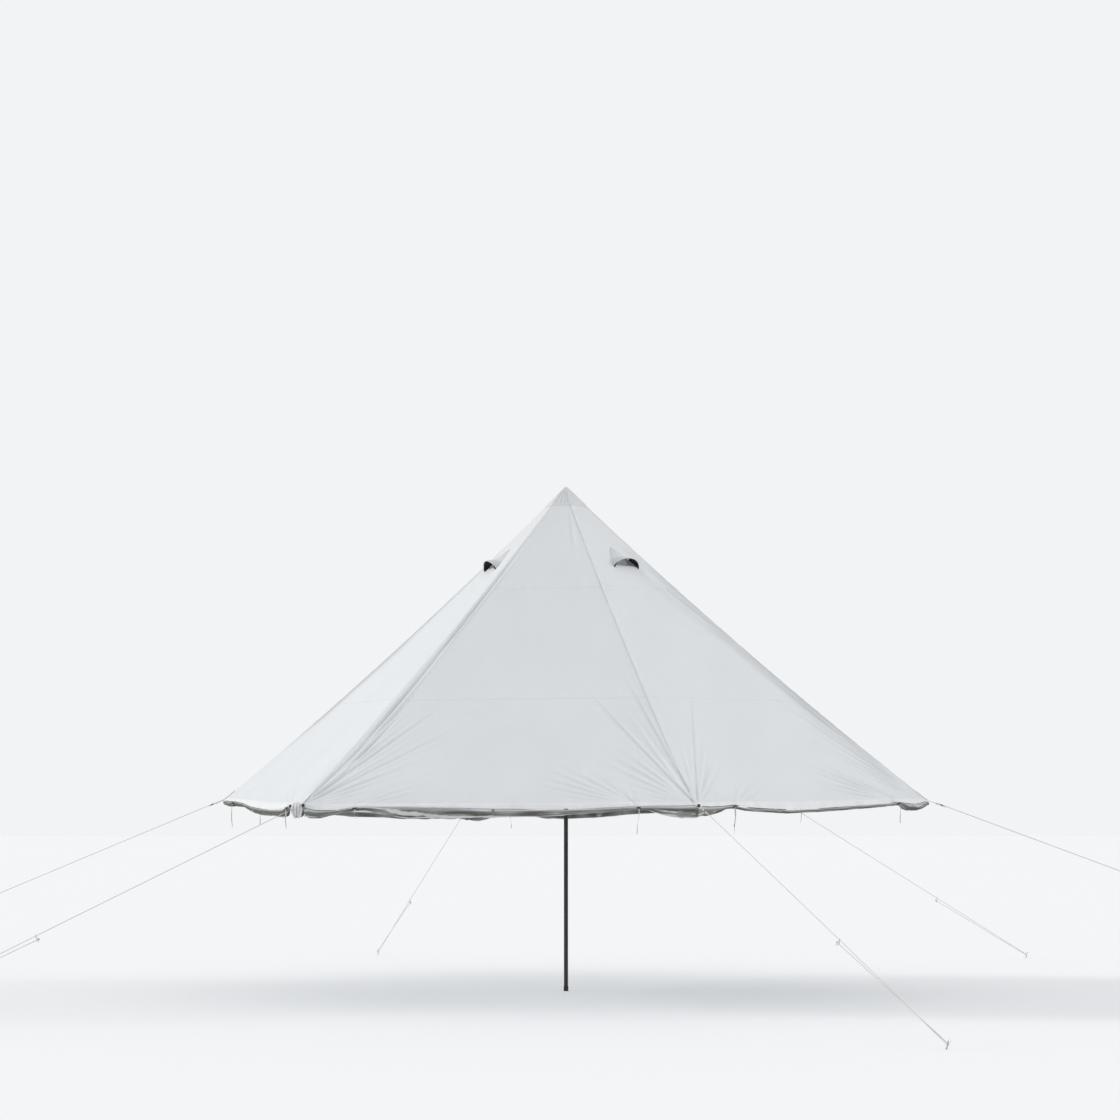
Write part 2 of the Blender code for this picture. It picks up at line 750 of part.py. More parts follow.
def make_guy_rope(corner):
    curve = bpy.data.curves.new(f"guy_rope_{corner}", "CURVE")
    curve.dimensions = "3D"
    curve.bevel_depth = ROPE_RADIUS
    curve.bevel_resolution = 2
    curve.use_fill_caps = True
    route = rope_route(corner)
    spline = curve.splines.new("POLY")
    spline.points.add(len(route) - 1)
    for point, (place, swell) in zip(spline.points, route):
        point.co = (*place, 1.0)
        point.radius = swell
    curve.materials.append(rope_material())
    piece = bpy.data.objects.new(f"guy_rope_{corner}", curve)
    bpy.context.collection.objects.link(piece)
    return piece


def make_line_runner(corner):
    """The flat slider on a rope: a bar with rounded ends and two holes."""
    bm = bmesh.new()
    along, sideways, upward = rope_frame(corner)
    runner = ring_far_bar(corner) + along * (rope_length(corner) * RUNNER_SHARE)
    face = runner - along * (RUNNER_THICKNESS / 2) + upward * (rope_offset() - RUNNER_HOLE_SPACING / 2)
    straight = RUNNER_LENGTH / 2 - RUNNER_WIDTH / 2
    outline = half_turn(face + upward * straight, sideways, upward, RUNNER_WIDTH / 2, 6)
    outline += half_turn(face - upward * straight, -sideways, -upward, RUNNER_WIDTH / 2, 6)
    holes = []
    for end in (-1, 1):
        middle = face + upward * (end * RUNNER_HOLE_SPACING / 2)
        holes.append(ring_round(middle, along, (ROPE_RADIUS + GAP) / math.cos(math.pi / 8), 8, upward))
    add_plate(bm, outline, holes, along * RUNNER_THICKNESS)
    return object_from_bmesh(f"line_runner_{corner}", bm, runner_material())


def make_peg(corner):
    """The head of a ground peg: a round bar that leans away from the tent, with a hook above the rope."""
    bm = bmesh.new()
    along, sideways, upward = rope_frame(corner)
    neck = peg_point(corner)
    sides = 10
    foot = [p - upward * (p.z / upward.z) for p in ring_round(neck, upward, PEG_RADIUS, sides, sideways)]
    rings = [foot, ring_round(neck, upward, PEG_RADIUS, sides, sideways)]
    bend = neck + upward * PEG_RISE_ABOVE_ROPE + along * PEG_HOOK_RADIUS
    for k in range(7):
        angle = math.radians(25 * k)
        outwards = -along * math.cos(angle) + upward * math.sin(angle)
        tangent = upward * math.cos(angle) + along * math.sin(angle)
        rings.append(ring_round(bend + outwards * PEG_HOOK_RADIUS, tangent, PEG_RADIUS, sides, sideways))
    add_loft(bm, rings)
    return object_from_bmesh(f"peg_{corner}", bm, steel_material(), 50)


def pole_top_height():
    """The height at which a pole of full radius just clears the inside of the roof."""
    lean = face_normal("front").dot(side_outward("front"))
    inner_reach = POLE_RADIUS + POLE_HEADROOM + ROOF_THICKNESS / lean
    ridge_reach = inner_reach / math.cos(SIDE_ANGLE / 2)
    first, second = (ridge_point("right", share) for share in (0.0, roof_rows()[1]))
    drop = (first.z - second.z) / (second.x - first.x)
    return ROOF_TOP_HEIGHT - (ridge_reach - ROOF_TOP_REACH) * drop


def make_pole():
    """Three tubes, each with a thinner spigot that enters the next, between a rubber foot and a blunt tip."""
    segments = 20
    bottom = FOOT_FLOOR + GAP
    top = pole_top_height() - POLE_TIP_COLLAR - GAP
    section = (top - bottom) / len(POLE_SECTIONS)
    bore = POLE_RADIUS - POLE_WALL
    spigot = bore - GAP
    spigot_bore = spigot - POLE_WALL
    neck = POLE_WALL
    for k, name in enumerate(POLE_SECTIONS):
        low = bottom + k * section
        high = low + section - (GAP if k + 1 < len(POLE_SECTIONS) else 0)
        outline = [(POLE_RADIUS, low), (POLE_RADIUS, high)]
        if k + 1 < len(POLE_SECTIONS):
            outline += [(spigot, high), (spigot, high + POLE_SPIGOT_LENGTH)]
            outline += [(spigot_bore, high + POLE_SPIGOT_LENGTH), (spigot_bore, high - neck)]
            outline += [(bore, high - 2 * neck), (bore, low)]
        else:
            outline += [(bore, high), (bore, low)]
        bm = bmesh.new()
        add_turned(bm, outline, segments)
        object_from_bmesh(name, bm, pole_material(), 40)
    bm = bmesh.new()
    sleeve = POLE_RADIUS + GAP
    outer = sleeve + FOOT_WALL
    profile = [(outer - 0.001, 0.0), (outer, 0.001), (outer, FOOT_HEIGHT), (sleeve, FOOT_HEIGHT)]
    add_turned_plug(bm, profile + [(sleeve, FOOT_FLOOR)], segments)
    object_from_bmesh("pole_foot", bm, rubber_material(), 40)
    bm = bmesh.new()
    peak = cap_inner_height() - GAP
    collar = top + GAP
    profile = [(spigot, collar - POLE_TIP_STEM), (spigot, collar), (POLE_RADIUS, collar)]
    profile += [(POLE_RADIUS, collar + POLE_TIP_COLLAR), (POLE_TIP_RADIUS, peak)]
    add_turned_plug(bm, profile, segments)
    object_from_bmesh("pole_tip", bm, rubber_material(), 40)


def build():
    clear_scene()
    for side in SIDES:
        panel = make_roof_panel(side)
        if side in VENT_SIDES:
            cut_vent_hole(panel, side)
            make_vent_hood(side)
        make_wall_roll(side)
    make_apex_cap()
    make_wall_gather()
    for corner in CORNERS:
        make_corner_tab(corner)
        make_guy_rope(corner)
        make_line_runner(corner)
        make_peg(corner)
    make_pole()


build()
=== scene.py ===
# %% [markdown]
# # A six-sided canopy tent
#
# This lesson gives a packed tent its cloth, ropes and metalwork. The tent stands on one black centre pole.
# Six white roof panels hang from a cap on that pole, and six guy ropes pull their corners out. The walls are
# rolled up and tied under the eaves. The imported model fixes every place, so it is loaded first, and nothing
# in it is moved.

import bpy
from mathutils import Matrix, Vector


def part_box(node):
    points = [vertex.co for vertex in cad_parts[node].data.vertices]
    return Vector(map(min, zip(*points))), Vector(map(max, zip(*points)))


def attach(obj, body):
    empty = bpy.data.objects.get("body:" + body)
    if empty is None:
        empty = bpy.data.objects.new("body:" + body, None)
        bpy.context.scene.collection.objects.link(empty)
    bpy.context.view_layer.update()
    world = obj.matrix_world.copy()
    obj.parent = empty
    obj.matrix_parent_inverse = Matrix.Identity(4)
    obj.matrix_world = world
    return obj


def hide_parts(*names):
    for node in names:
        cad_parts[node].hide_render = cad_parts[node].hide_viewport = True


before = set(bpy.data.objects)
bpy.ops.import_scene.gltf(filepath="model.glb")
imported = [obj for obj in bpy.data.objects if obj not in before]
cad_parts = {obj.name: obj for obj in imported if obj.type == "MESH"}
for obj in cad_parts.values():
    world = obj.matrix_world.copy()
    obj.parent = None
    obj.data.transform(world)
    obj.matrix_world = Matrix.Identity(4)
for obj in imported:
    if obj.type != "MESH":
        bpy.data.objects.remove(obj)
print("nodes in the frame:", len(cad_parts))

# %% Modules
import math

import bmesh
import bpy
import numpy as np
from mathutils import Matrix, Vector

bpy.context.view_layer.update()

# %% [markdown]
# ## The camera
#
# The photograph was taken from about 24 m away at eye height, a little to the right of the front panel, with
# a long lens. The camera is made first, because every later choice of detail depends on what it shows: one
# pixel covers about 10 mm of cloth.

# %% Place the camera
CAMERA_AZIMUTH = 11.53
CAMERA_DISTANCE = 23.95
CAMERA_HEIGHT = 1.498
CAMERA_PITCH = 6.20
CAMERA_TURN = 0.136
CAMERA_LENS = 80.36
CAMERA_FAR_CLIP = 3000.0


def direction(azimuth):
    """The level unit vector at an azimuth in degrees from the front towards the right."""
    turn = math.radians(azimuth)
    return np.array([math.sin(turn), -math.cos(turn), 0.0])


def show(piece):
    bpy.context.scene.collection.objects.link(piece)


UP = np.array([0.0, 0.0, 1.0])
camera_data = bpy.data.cameras.new("photo_camera")
camera_data.lens = CAMERA_LENS
camera_data.clip_end = CAMERA_FAR_CLIP
camera = bpy.data.objects.new("photo_camera", camera_data)
camera.location = direction(CAMERA_AZIMUTH) * CAMERA_DISTANCE + UP * CAMERA_HEIGHT
camera.rotation_euler = (math.radians(90 + CAMERA_PITCH), 0, math.radians(CAMERA_AZIMUTH + CAMERA_TURN))
show(camera)
bpy.context.scene.camera = camera
print("camera at", [round(x, 2) for x in camera.location])

# %% [markdown]
# ## Light, sky and floor
#
# The day in the photograph is overcast: the sky is nearly white, and its brighter part lights the left of the
# tent. A pale world gives the even light. Two wide, weak suns stand for the bright parts of the sky near the
# horizon: the left one makes the left panel brighter and draws out the folds, and the right one lifts the
# panels that look away from it. The floor is one large plain disc that meets the sky without a hard line.

# %% The world and the bright parts of the sky
SKY_COLOUR = (0.935, 0.945, 0.96)
SKY_STRENGTH = 0.95
# Each bright part: azimuth, elevation, strength, angle
BRIGHT_SKY = {"bright_sky_left": (273.0, 20.0, 1.42, 16.0), "bright_sky_right": (116.0, 16.0, 0.90, 20.0)}

world = bpy.data.worlds.new("overcast_sky")
world.use_nodes = True
background = world.node_tree.nodes["Background"]
background.inputs["Color"].default_value = (*SKY_COLOUR, 1.0)
background.inputs["Strength"].default_value = SKY_STRENGTH
bpy.context.scene.world = world


def add_sun(name, azimuth, elevation, strength, angle, colour):
    """A far light with soft shadows, which shines from an azimuth and an elevation in degrees."""
    data = bpy.data.lights.new(name, "SUN")
    data.energy = strength
    data.angle = math.radians(angle)
    data.color = colour
    sun = bpy.data.objects.new(name, data)
    sun.rotation_euler = (math.radians(90 - elevation), 0, math.radians(azimuth))
    show(sun)
    return sun


for name, (azimuth, elevation, strength, angle) in BRIGHT_SKY.items():
    add_sun(name, azimuth, elevation, strength, angle, (1.0, 0.985, 0.96))
bpy.context.scene.view_settings.view_transform = "Standard"
print("light: sky", SKY_STRENGTH, "and", len(BRIGHT_SKY), "bright parts")

# %% The floor
FLOOR_RADIUS = 900.0
FLOOR_DROP = 0.001

bpy.ops.object.select_all(action="DESELECT")
bpy.ops.mesh.primitive_circle_add(vertices=96, radius=FLOOR_RADIUS, fill_type="NGON",
                                  location=(0, 0, -FLOOR_DROP))
floor = bpy.context.active_object
floor.name = "floor"
floor_material = bpy.data.materials.new("pale_floor")
floor_material.use_nodes = True
floor_shader = floor_material.node_tree.nodes["Principled BSDF"]
floor_shader.inputs["Base Color"].default_value = (0.80, 0.81, 0.82, 1.0)
floor_shader.inputs["Roughness"].default_value = 0.95
floor_shader.inputs["Specular IOR Level"].default_value = 0.1
floor.data.materials.append(floor_material)
print("floor radius", FLOOR_RADIUS)

# %% [markdown]
# ## Shader building blocks
#
# Cloth, webbing and rope all need a fine woven surface, and everything that stands outdoors gathers a little
# dirt. Each effect is a small node group with named inputs, so that every material can use it with its own
# numbers. The groups put out plain values and colours, and the shaders stay in the materials.


# %% Helpers for node trees
def add_node(tree, kind, **settings):
    """A new node with its properties set."""
    node = tree.nodes.new(kind)
    for name, value in settings.items():
        setattr(node, name, value)
    return node


def link(tree, source, target):
    tree.links.new(source, target)


def fill_inputs(tree, node, values):
    """Give values to a node's inputs, by name or number: sockets, plain numbers or colours."""
    for name, value in values.items():
        socket = node.inputs[name]
        if isinstance(value, bpy.types.NodeSocket):
            link(tree, value, socket)
        else:
            socket.default_value = (*value, 1.0) if socket.type == "RGBA" else value
    return node


def math_node(tree, operation, *values):
    """The output of a maths node whose inputs are sockets or plain numbers."""
    node = add_node(tree, "ShaderNodeMath", operation=operation)
    return fill_inputs(tree, node, dict(enumerate(values))).outputs[0]


def mix_colours(tree, factor, first, second):
    """The output of a colour mix whose inputs are sockets or plain values."""
    node = add_node(tree, "ShaderNodeMix", data_type="RGBA")
    return fill_inputs(tree, node, {0: factor, 6: first, 7: second}).outputs[2]


def split_axes(tree, vector):
    """The sockets of a vector's parts, by X, Y and Z."""
    return fill_inputs(tree, add_node(tree, "ShaderNodeSeparateXYZ"), {0: vector}).outputs


def new_group(name, inputs, output):
    """A node group with sockets for its inputs and its one output. A default of None makes a vector input."""
    group = bpy.data.node_groups.new(name, "ShaderNodeTree")
    for label, default in inputs.items():
        kind = "NodeSocketVector" if default is None else "NodeSocketFloat"
        socket = group.interface.new_socket(label, in_out="INPUT", socket_type=kind)
        if default is not None:
            socket.default_value = default
    group.interface.new_socket(output, in_out="OUTPUT", socket_type="NodeSocketFloat")
    return group, add_node(group, "NodeGroupInput").outputs, add_node(group, "NodeGroupOutput").inputs[0]


print("shader helpers are ready")


# %% The weave: threads that cross over and under each other
def make_weave_group():
    """Height 0 to 1 of a plain weave, from a flat pattern position in metres and the threads' pitch."""
    group, given, out = new_group("plain_weave", {"Position": None, "Pitch": 0.001}, "Height")
    split = split_axes(group, given["Position"])
    waves = []
    for axis in ("X", "Y"):
        threads = math_node(group, "DIVIDE", split[axis], given["Pitch"])
        waves.append(math_node(group, "SINE", math_node(group, "MULTIPLY", threads, math.pi)))
    crossing = math_node(group, "MULTIPLY", *waves)
    link(group, math_node(group, "MULTIPLY_ADD", crossing, 0.5, 0.5), out)
    return group


weave_group = make_weave_group()
print("group:", weave_group.name)


# %% Weather marks: broad stains and faint runs down the cloth
def make_weather_group():
    """A mask from 0 to 1 of broad, soft marks, stretched along the second direction of the position."""
    group, given, out = new_group("weather_marks", {"Position": None, "Size": 0.6, "Stretch": 2.5}, "Mask")
    split = split_axes(group, given["Position"])
    short = given["Size"]
    sizes = {"X": short, "Y": math_node(group, "MULTIPLY", short, given["Stretch"]), "Z": short}
    parts = {axis: math_node(group, "DIVIDE", split[axis], size) for axis, size in sizes.items()}
    joined = fill_inputs(group, add_node(group, "ShaderNodeCombineXYZ"), parts)
    noise = add_node(group, "ShaderNodeTexNoise")
    fill_inputs(group, noise, {"Vector": joined.outputs[0], "Scale": 1.0, "Detail": 5.0, "Roughness": 0.6})
    spread = add_node(group, "ShaderNodeMapRange", interpolation_type="SMOOTHSTEP")
    fill_inputs(group, spread, {"Value": noise.outputs["Fac"], "From Min": 0.35, "From Max": 0.70})
    link(group, spread.outputs["Result"], out)
    return group


weather_group = make_weather_group()
print("group:", weather_group.name)


# %% Stitches: short threads in a row beside a seam
def make_stitch_group():
    """A mask of stitches in one row, from the distance across to the row and the place along it."""
    group, given, out = new_group(
        "stitch_row", {"Across": 0.0, "Along": 0.0, "Length": 0.006, "Width": 0.0012}, "Mask")
    near = math_node(group, "LESS_THAN", math_node(group, "ABSOLUTE", given["Across"]), given["Width"])
    part = math_node(group, "FRACT", math_node(group, "DIVIDE", given["Along"], given["Length"]))
    threads = math_node(group, "LESS_THAN", part, 0.72)
    link(group, math_node(group, "MULTIPLY", near, threads), out)
    return group


stitch_group = make_stitch_group()
print("group:", stitch_group.name)

# %% [markdown]
# ## The cloth finishes
#
# The roof is proofed white cotton cloth. It reflects most of the light and lets some through, so each cloth
# material mixes a Principled shader with a Translucent one. Where layers are sewn together less light passes,
# and the cloth looks a little darker: the meshes carry that as an attribute named layers. Two more attributes
# change the colour. One darkens it with dirt, and also with painted shade in creases, beside some ridges and
# on the rolled walls. The other lightens the doubled hem with a painted light.

# %% A cloth material with weave and weather marks
THREAD_PITCH = 0.0012
LAYERS_DARKEN = 0.13
# The colour of the painted light on the doubled hem
PAINTED_HEM_LIGHT_COLOUR = (0.87, 0.878, 0.885)


def group_node(tree, group, **values):
    """The output of a placed node group, whose inputs are sockets or plain numbers."""
    return fill_inputs(tree, add_node(tree, "ShaderNodeGroup", node_tree=group), values).outputs[0]


def attribute_value(tree, name):
    return add_node(tree, "ShaderNodeAttribute", attribute_name=name).outputs["Fac"]


def new_material(name):
    """A new material with its node tree and its Principled shader."""
    material = bpy.data.materials.new(name)
    material.use_nodes = True
    return material, material.node_tree, material.node_tree.nodes["Principled BSDF"]


def pattern_place(tree):
    """The place on the piece's own flat pattern, in metres."""
    return add_node(tree, "ShaderNodeUVMap", uv_map="cloth").outputs["UV"]


def object_place(tree):
    return add_node(tree, "ShaderNodeTexCoord").outputs["Object"]


def weather_marks(tree, size, stretch=1.0):
    """The mask of marks of a size in metres."""
    return group_node(tree, weather_group, Position=object_place(tree), Size=size, Stretch=stretch)


def bump_normal(tree, height, strength, distance):
    """The normal of a surface whose small relief has this height, up to a distance in metres."""
    bump = add_node(tree, "ShaderNodeBump")
    return fill_inputs(tree, bump, {"Height": height, "Strength": strength, "Distance": distance}).outputs[0]


def cloth_material(name, colour, marks_colour, dirt_and_shade_colour, passes, dirt_and_shade_cover):
    """Woven cloth. passes is the share of light that goes through it, and the last argument is how strongly
    dirt and painted shade darken it.
    """
    material, tree, shader = new_material(name)
    faint = math_node(tree, "MULTIPLY", weather_marks(tree, 0.55, 1.6), 0.55)
    tinted = mix_colours(tree, faint, colour, marks_colour)
    layered = math_node(tree, "MULTIPLY", attribute_value(tree, "layers"), LAYERS_DARKEN)
    sewn = mix_colours(tree, layered, tinted, tuple(0.62 * c for c in colour))
    # Dirt darkens the colour, and so does painted shade in creases, beside some ridges and on the rolls.
    dirt_and_shade_share = math_node(tree, "MULTIPLY", attribute_value(tree, "dirt_and_shade"), dirt_and_shade_cover)
    with_dirt_and_shade = mix_colours(tree, dirt_and_shade_share, sewn, dirt_and_shade_colour)
    # The doubled hem is lightened with a painted light.
    final = mix_colours(tree, attribute_value(tree, "painted_hem_light"), with_dirt_and_shade, PAINTED_HEM_LIGHT_COLOUR)
    weave = group_node(tree, weave_group, Position=pattern_place(tree), Pitch=THREAD_PITCH)
    normal = bump_normal(tree, weave, 0.25, 0.0003)
    fill_inputs(tree, shader, {"Base Color": final, "Normal": normal, "Roughness": 0.88,
                               "Specular IOR Level": 0.25})
    through = add_node(tree, "ShaderNodeBsdfTranslucent")
    fill_inputs(tree, through, {"Color": final, "Normal": normal})
    blend = add_node(tree, "ShaderNodeMixShader")
    fill_inputs(tree, blend, {"Fac": passes, 1: shader.outputs["BSDF"], 2: through.outputs["BSDF"]})
    link(tree, blend.outputs["Shader"], tree.nodes["Material Output"].inputs["Surface"])
    return material


# Each cloth: its colour, its marks' colour, the colour of its dirt and painted shade, the light it passes and
# how strongly the dirt and painted shade cover it
CLOTHS = {
    "roof_cloth": ((0.715, 0.735, 0.745), (0.69, 0.705, 0.715), (0.38, 0.40, 0.42), 0.20, 0.6),
    # The wall cloth's dark olive is the colour of painted shade and of a painted olive reflection from the
    # ground.
    "wall_cloth": ((0.73, 0.745, 0.75), (0.66, 0.665, 0.67), (0.078, 0.080, 0.064), 0.08, 0.95),
    "cap_cloth": ((0.725, 0.742, 0.752), (0.69, 0.708, 0.72), (0.28, 0.31, 0.35), 0.20, 0.6),
}
roof_cloth, wall_cloth, cap_cloth = (cloth_material(name, *values) for name, values in CLOTHS.items())
print("cloths:", roof_cloth.name, wall_cloth.name, cap_cloth.name)

# %% [markdown]
# ## The roof's lines
#
# Each roof side is a triangle between two ridges that sag a little below straight lines. The corners of the
# packed panels give the lines' lower ends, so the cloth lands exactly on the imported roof.

# %% Corners, sides and ridges
CORNERS = ("front_right", "right", "back_right", "back_left", "left", "front_left")
CORNER_AZIMUTHS = {corner: 30.0 + 60.0 * k for k, corner in enumerate(CORNERS)}
SIDE_NAMES = ("front", "right_front", "right_back", "back", "left_back", "left_front")
# Each side: its left and its right corner
SIDES = {side: (CORNERS[k - 1], CORNERS[k]) for k, side in enumerate(SIDE_NAMES)}
ROOF_TOP_HEIGHT = 4.80
ROOF_TOP_REACH = 0.016
RIDGE_SAG = 0.055


def unit(vector):
    return vector / np.linalg.norm(vector)


def unit_rows(vectors):
    """The vectors of an array, each brought to length 1."""
    return vectors / np.linalg.norm(vectors, axis=-1, keepdims=True)


def node_points(node):
    """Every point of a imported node, one to a row."""
    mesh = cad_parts[node].data
    flat = np.empty(len(mesh.vertices) * 3)
    mesh.vertices.foreach_get("co", flat)
    return flat.reshape(-1, 3)


def packed_corner(corner):
    """The roof's outer corner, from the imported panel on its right."""
    side = next(name for name, ends in SIDES.items() if ends[0] == corner)
    points = node_points(f"roof_{side}")
    reach = points @ direction(CORNER_AZIMUTHS[corner])
    return direction(CORNER_AZIMUTHS[corner]) * reach.max() + UP * points[reach.argmax(), 2]


EAVES = {corner: packed_corner(corner) for corner in CORNERS}
EAVE_REACH = float(np.mean([np.hypot(p[0], p[1]) for p in EAVES.values()]))
EAVE_HEIGHT = 1.76
RIDGE_TOPS = {c: direction(a) * ROOF_TOP_REACH + UP * ROOF_TOP_HEIGHT for c, a in CORNER_AZIMUTHS.items()}
print("eave reach", round(EAVE_REACH, 3), "heights", {c: round(p[2], 3) for c, p in EAVES.items()})


# %% Points and directions on the roof
def ridge_outward(corner):
    """The outward normal of a ridge in its own upright plane."""
    level = direction(CORNER_AZIMUTHS[corner])
    along = unit(EAVES[corner] - RIDGE_TOPS[corner])
    return unit(level * -along[2] + UP * (along @ level))


def ridge_points(corner, shares):
    """Points at shares of the way down a ridge, which sags below its straight line."""
    shares = np.asarray(shares, float)[..., None]
    straight = RIDGE_TOPS[corner] + (EAVES[corner] - RIDGE_TOPS[corner]) * shares
    return straight - ridge_outward(corner) * (RIDGE_SAG * 4 * shares * (1 - shares))


def side_outward(side):
    """The level direction that a side faces."""
    return direction(CORNER_AZIMUTHS[SIDES[side][0]] + 30.0)


def face_outward(side):
    """The outward normal of a side."""
    left, right = SIDES[side]
    across = ridge_points(right, 0.5) - ridge_points(left, 0.5)
    low = ridge_points(right, 0.9) + ridge_points(left, 0.9)
    down = low - ridge_points(right, 0.1) - ridge_points(left, 0.1)
    return unit(np.cross(across, -down))


def blended_outward(side, across, near):
    """The outward directions at shares across a side: near goes from 0, the ridge's own, to 1, the face's."""
    left, right = SIDES[side]
    ridge_side = np.where(across < 0.5, ridge_outward(left), ridge_outward(right))
    return unit_rows(face_outward(side) * near + ridge_side * (1 - near))


ROOF_RUN, ROOF_RISE = EAVE_REACH - ROOF_TOP_REACH, ROOF_TOP_HEIGHT - EAVE_HEIGHT
SLANT = math.hypot(ROOF_RUN * math.cos(math.radians(30)), ROOF_RISE)
RIDGE_LENGTH = math.hypot(ROOF_RUN, ROOF_RISE)


def smooth_step(x):
    """Rises from 0 at 0 to 1 at 1 without a corner."""
    x = np.clip(x, 0.0, 1.0)
    return x * x * (3 - 2 * x)


def bell(x):
    """A soft hump: 1 at 0, and close to 0 past 2 on both sides."""
    return np.exp(-(x**2))


print("slant", round(SLANT, 3), "ridge", round(RIDGE_LENGTH, 3))

# %% [markdown]
# ## The eave's line
#
# The eave does not run straight from corner to corner. The wall's weight pulls the hem down between the ties,
# and the roll under it swells and shrinks. Both shapes are tables of a few values along each side, as the
# photograph shows them. Here the tables are drawn through with a soft line, because cloth has no corners.

# %% The hem's droop and the roll's swelling along each side
TIE_SHARE = 0.145
EAVE_DROOP = 0.053
STRAP_WIDTH = 0.020
LEFT_COLUMNS = [0, 0.0435, 0.09425, TIE_SHARE - STRAP_WIDTH / 2 / EAVE_REACH,
                TIE_SHARE + STRAP_WIDTH / 2 / EAVE_REACH, 0.195, 0.27, 0.38]
EAVE_COLUMNS = LEFT_COLUMNS + [0.5] + [1 - share for share in reversed(LEFT_COLUMNS)]
# Each shape: the hem's drop in hundredths of the droop, and the roll's height in hundredths of the full one
EAVE_SHAPES = {
    "front": (
        (0, 64, 57, 8, 8, 4, 6, 23, 45, 55, 45, 26, 15, 15, 6, 8, 0),
        (90, 66, 30, 0, 0, 55, 100, 98, 66, 50, 38, 29, 0, 0, 57, 88, 97)),
    "right_front": (
        (0, 28, 23, 6, 6, 47, 72, 100, 91, 68, 45, 28, 8, 8, 38, 42, 0),
        (97, 76, 47, 0, 0, 27, 28, 30, 28, 27, 27, 26, 0, 0, 58, 61, 39)),
    "left_front": (
        (0, 9, 15, 11, 11, 15, 28, 75, 94, 94, 72, 47, 19, 19, 26, 38, 0),
        (42, 44, 51, 0, 0, 34, 30, 47, 57, 51, 67, 74, 0, 0, 36, 53, 90)),
}
# The hidden sides repeat the seen ones, mirrored
SIDE_SHAPES = {"front": ("front", 1), "right_front": ("right_front", 1), "right_back": ("right_front", -1),
               "back": ("front", -1), "left_back": ("left_front", -1), "left_front": ("left_front", 1)}
FINE_STEPS = 800
FINE_SHARES = np.linspace(0, 1, FINE_STEPS + 1)
DROOP_SOFTNESS, ROLL_SOFTNESS = 0.07, 0.035


def soft_line(values, reach):
    """A table of hundredths as shares, on fine steps, averaged over reach metres to each side."""
    line = np.interp(FINE_SHARES, EAVE_COLUMNS, np.divide(values, 100))
    window = round(reach / EAVE_REACH * FINE_STEPS)
    kernel = np.hanning(2 * window + 3)[1:-1]
    return np.convolve(np.pad(line, window, mode="edge"), kernel / kernel.sum(), mode="valid")


from_end = np.minimum(FINE_SHARES, 1 - FINE_SHARES) * EAVE_REACH
beside_tie = np.abs(from_end - TIE_SHARE * EAVE_REACH)
HEM_DROPS, ROLL_HEIGHTS = {}, {}
for side, (shape, turn) in SIDE_SHAPES.items():
    drops, heights = (values[::turn] for values in EAVE_SHAPES[shape])
    HEM_DROPS[side] = EAVE_DROOP * soft_line(drops, DROOP_SOFTNESS) * smooth_step(from_end / DROOP_SOFTNESS)
    ROLL_HEIGHTS[side] = soft_line(heights, ROLL_SOFTNESS) * smooth_step((beside_tie - 0.007) / 0.04)


def hem_drop(side, share):
    """How far the hem hangs below the straight line between two corners."""
    return np.interp(share, FINE_SHARES, HEM_DROPS[side])


print("deepest hem:", {side: round(float(drops.max()), 3) for side, drops in HEM_DROPS.items()})


# %% Helpers that turn arrays of points into pieces
def quads(rows, columns, wrap=False):
    """The faces of a grid of points. With wrap, the last column joins the first."""
    r = np.arange(rows - 1)[:, None]
    c = np.arange(columns if wrap else columns - 1)[None, :]
    n = (c + 1) % columns
    faces = [r * columns + c, (r + 1) * columns + c, (r + 1) * columns + n, r * columns + n]
    return np.stack(faces, axis=-1).reshape(-1, 4)


def tube_faces(rows, columns):
    """The faces of a grid that wraps round, with one face over each end."""
    last = (rows - 1) * columns
    faces = [list(face) for face in quads(rows, columns, wrap=True)]
    return faces + [list(range(columns)), [last + k for k in range(columns)][::-1]]


def distances_along(path):
    """Each point's distance from the path's start, along the path."""
    return np.concatenate([[0], np.cumsum(np.linalg.norm(np.diff(path, axis=0), axis=1))])


def grid_uv(rows, columns, along, around, wrap=False):
    """The faces' pattern places for a grid: along goes with the rows and around with the columns."""
    r = np.arange(rows - 1)[:, None] + np.zeros(columns if wrap else columns - 1, int)
    c = np.zeros(rows - 1, int)[:, None] + np.arange(columns if wrap else columns - 1)
    corners = [(r, c), (r + 1, c), (r + 1, c + 1), (r, c + 1)]
    return np.stack([np.stack([around[j], along[i]], axis=-1) for i, j in corners], axis=2).reshape(-1, 2)


def add_piece(name, points, faces, material, uv=None, marks=None):
    """A smooth mesh object. uv has a place for each corner of each face or for each point, in order."""
    mesh = bpy.data.meshes.new(name)
    points = np.reshape(points, (-1, 3))
    mesh.from_pydata(points.tolist(), [], [list(face) for face in faces])
    mesh.polygons.foreach_set("use_smooth", [True] * len(mesh.polygons))
    if uv is not None:
        uv = np.reshape(uv, (-1, 2))
        corner_points = np.empty(len(mesh.loops), int)
        mesh.loops.foreach_get("vertex_index", corner_points)
        placed = uv[corner_points] if len(uv) == len(points) else uv
        spare = len(mesh.loops) - len(placed)
        placed = np.concatenate([placed, np.zeros((spare, 2))])
        mesh.uv_layers.new(name="cloth").data.foreach_set("uv", placed.ravel())
    for label, values in (marks or {}).items():
        mesh.attributes.new(label, "FLOAT", "POINT").data.foreach_set("value", np.ravel(values))
    piece = bpy.data.objects.new(name, mesh)
    mesh.materials.append(material)
    show(piece)
    return piece


def dress(piece, nodes=()):
    """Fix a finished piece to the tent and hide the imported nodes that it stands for."""
    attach(piece, "root")
    if nodes:
        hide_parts(*nodes)
    return piece


def triangle_count(piece):
    return sum(len(face.vertices) - 2 for face in piece.data.polygons)


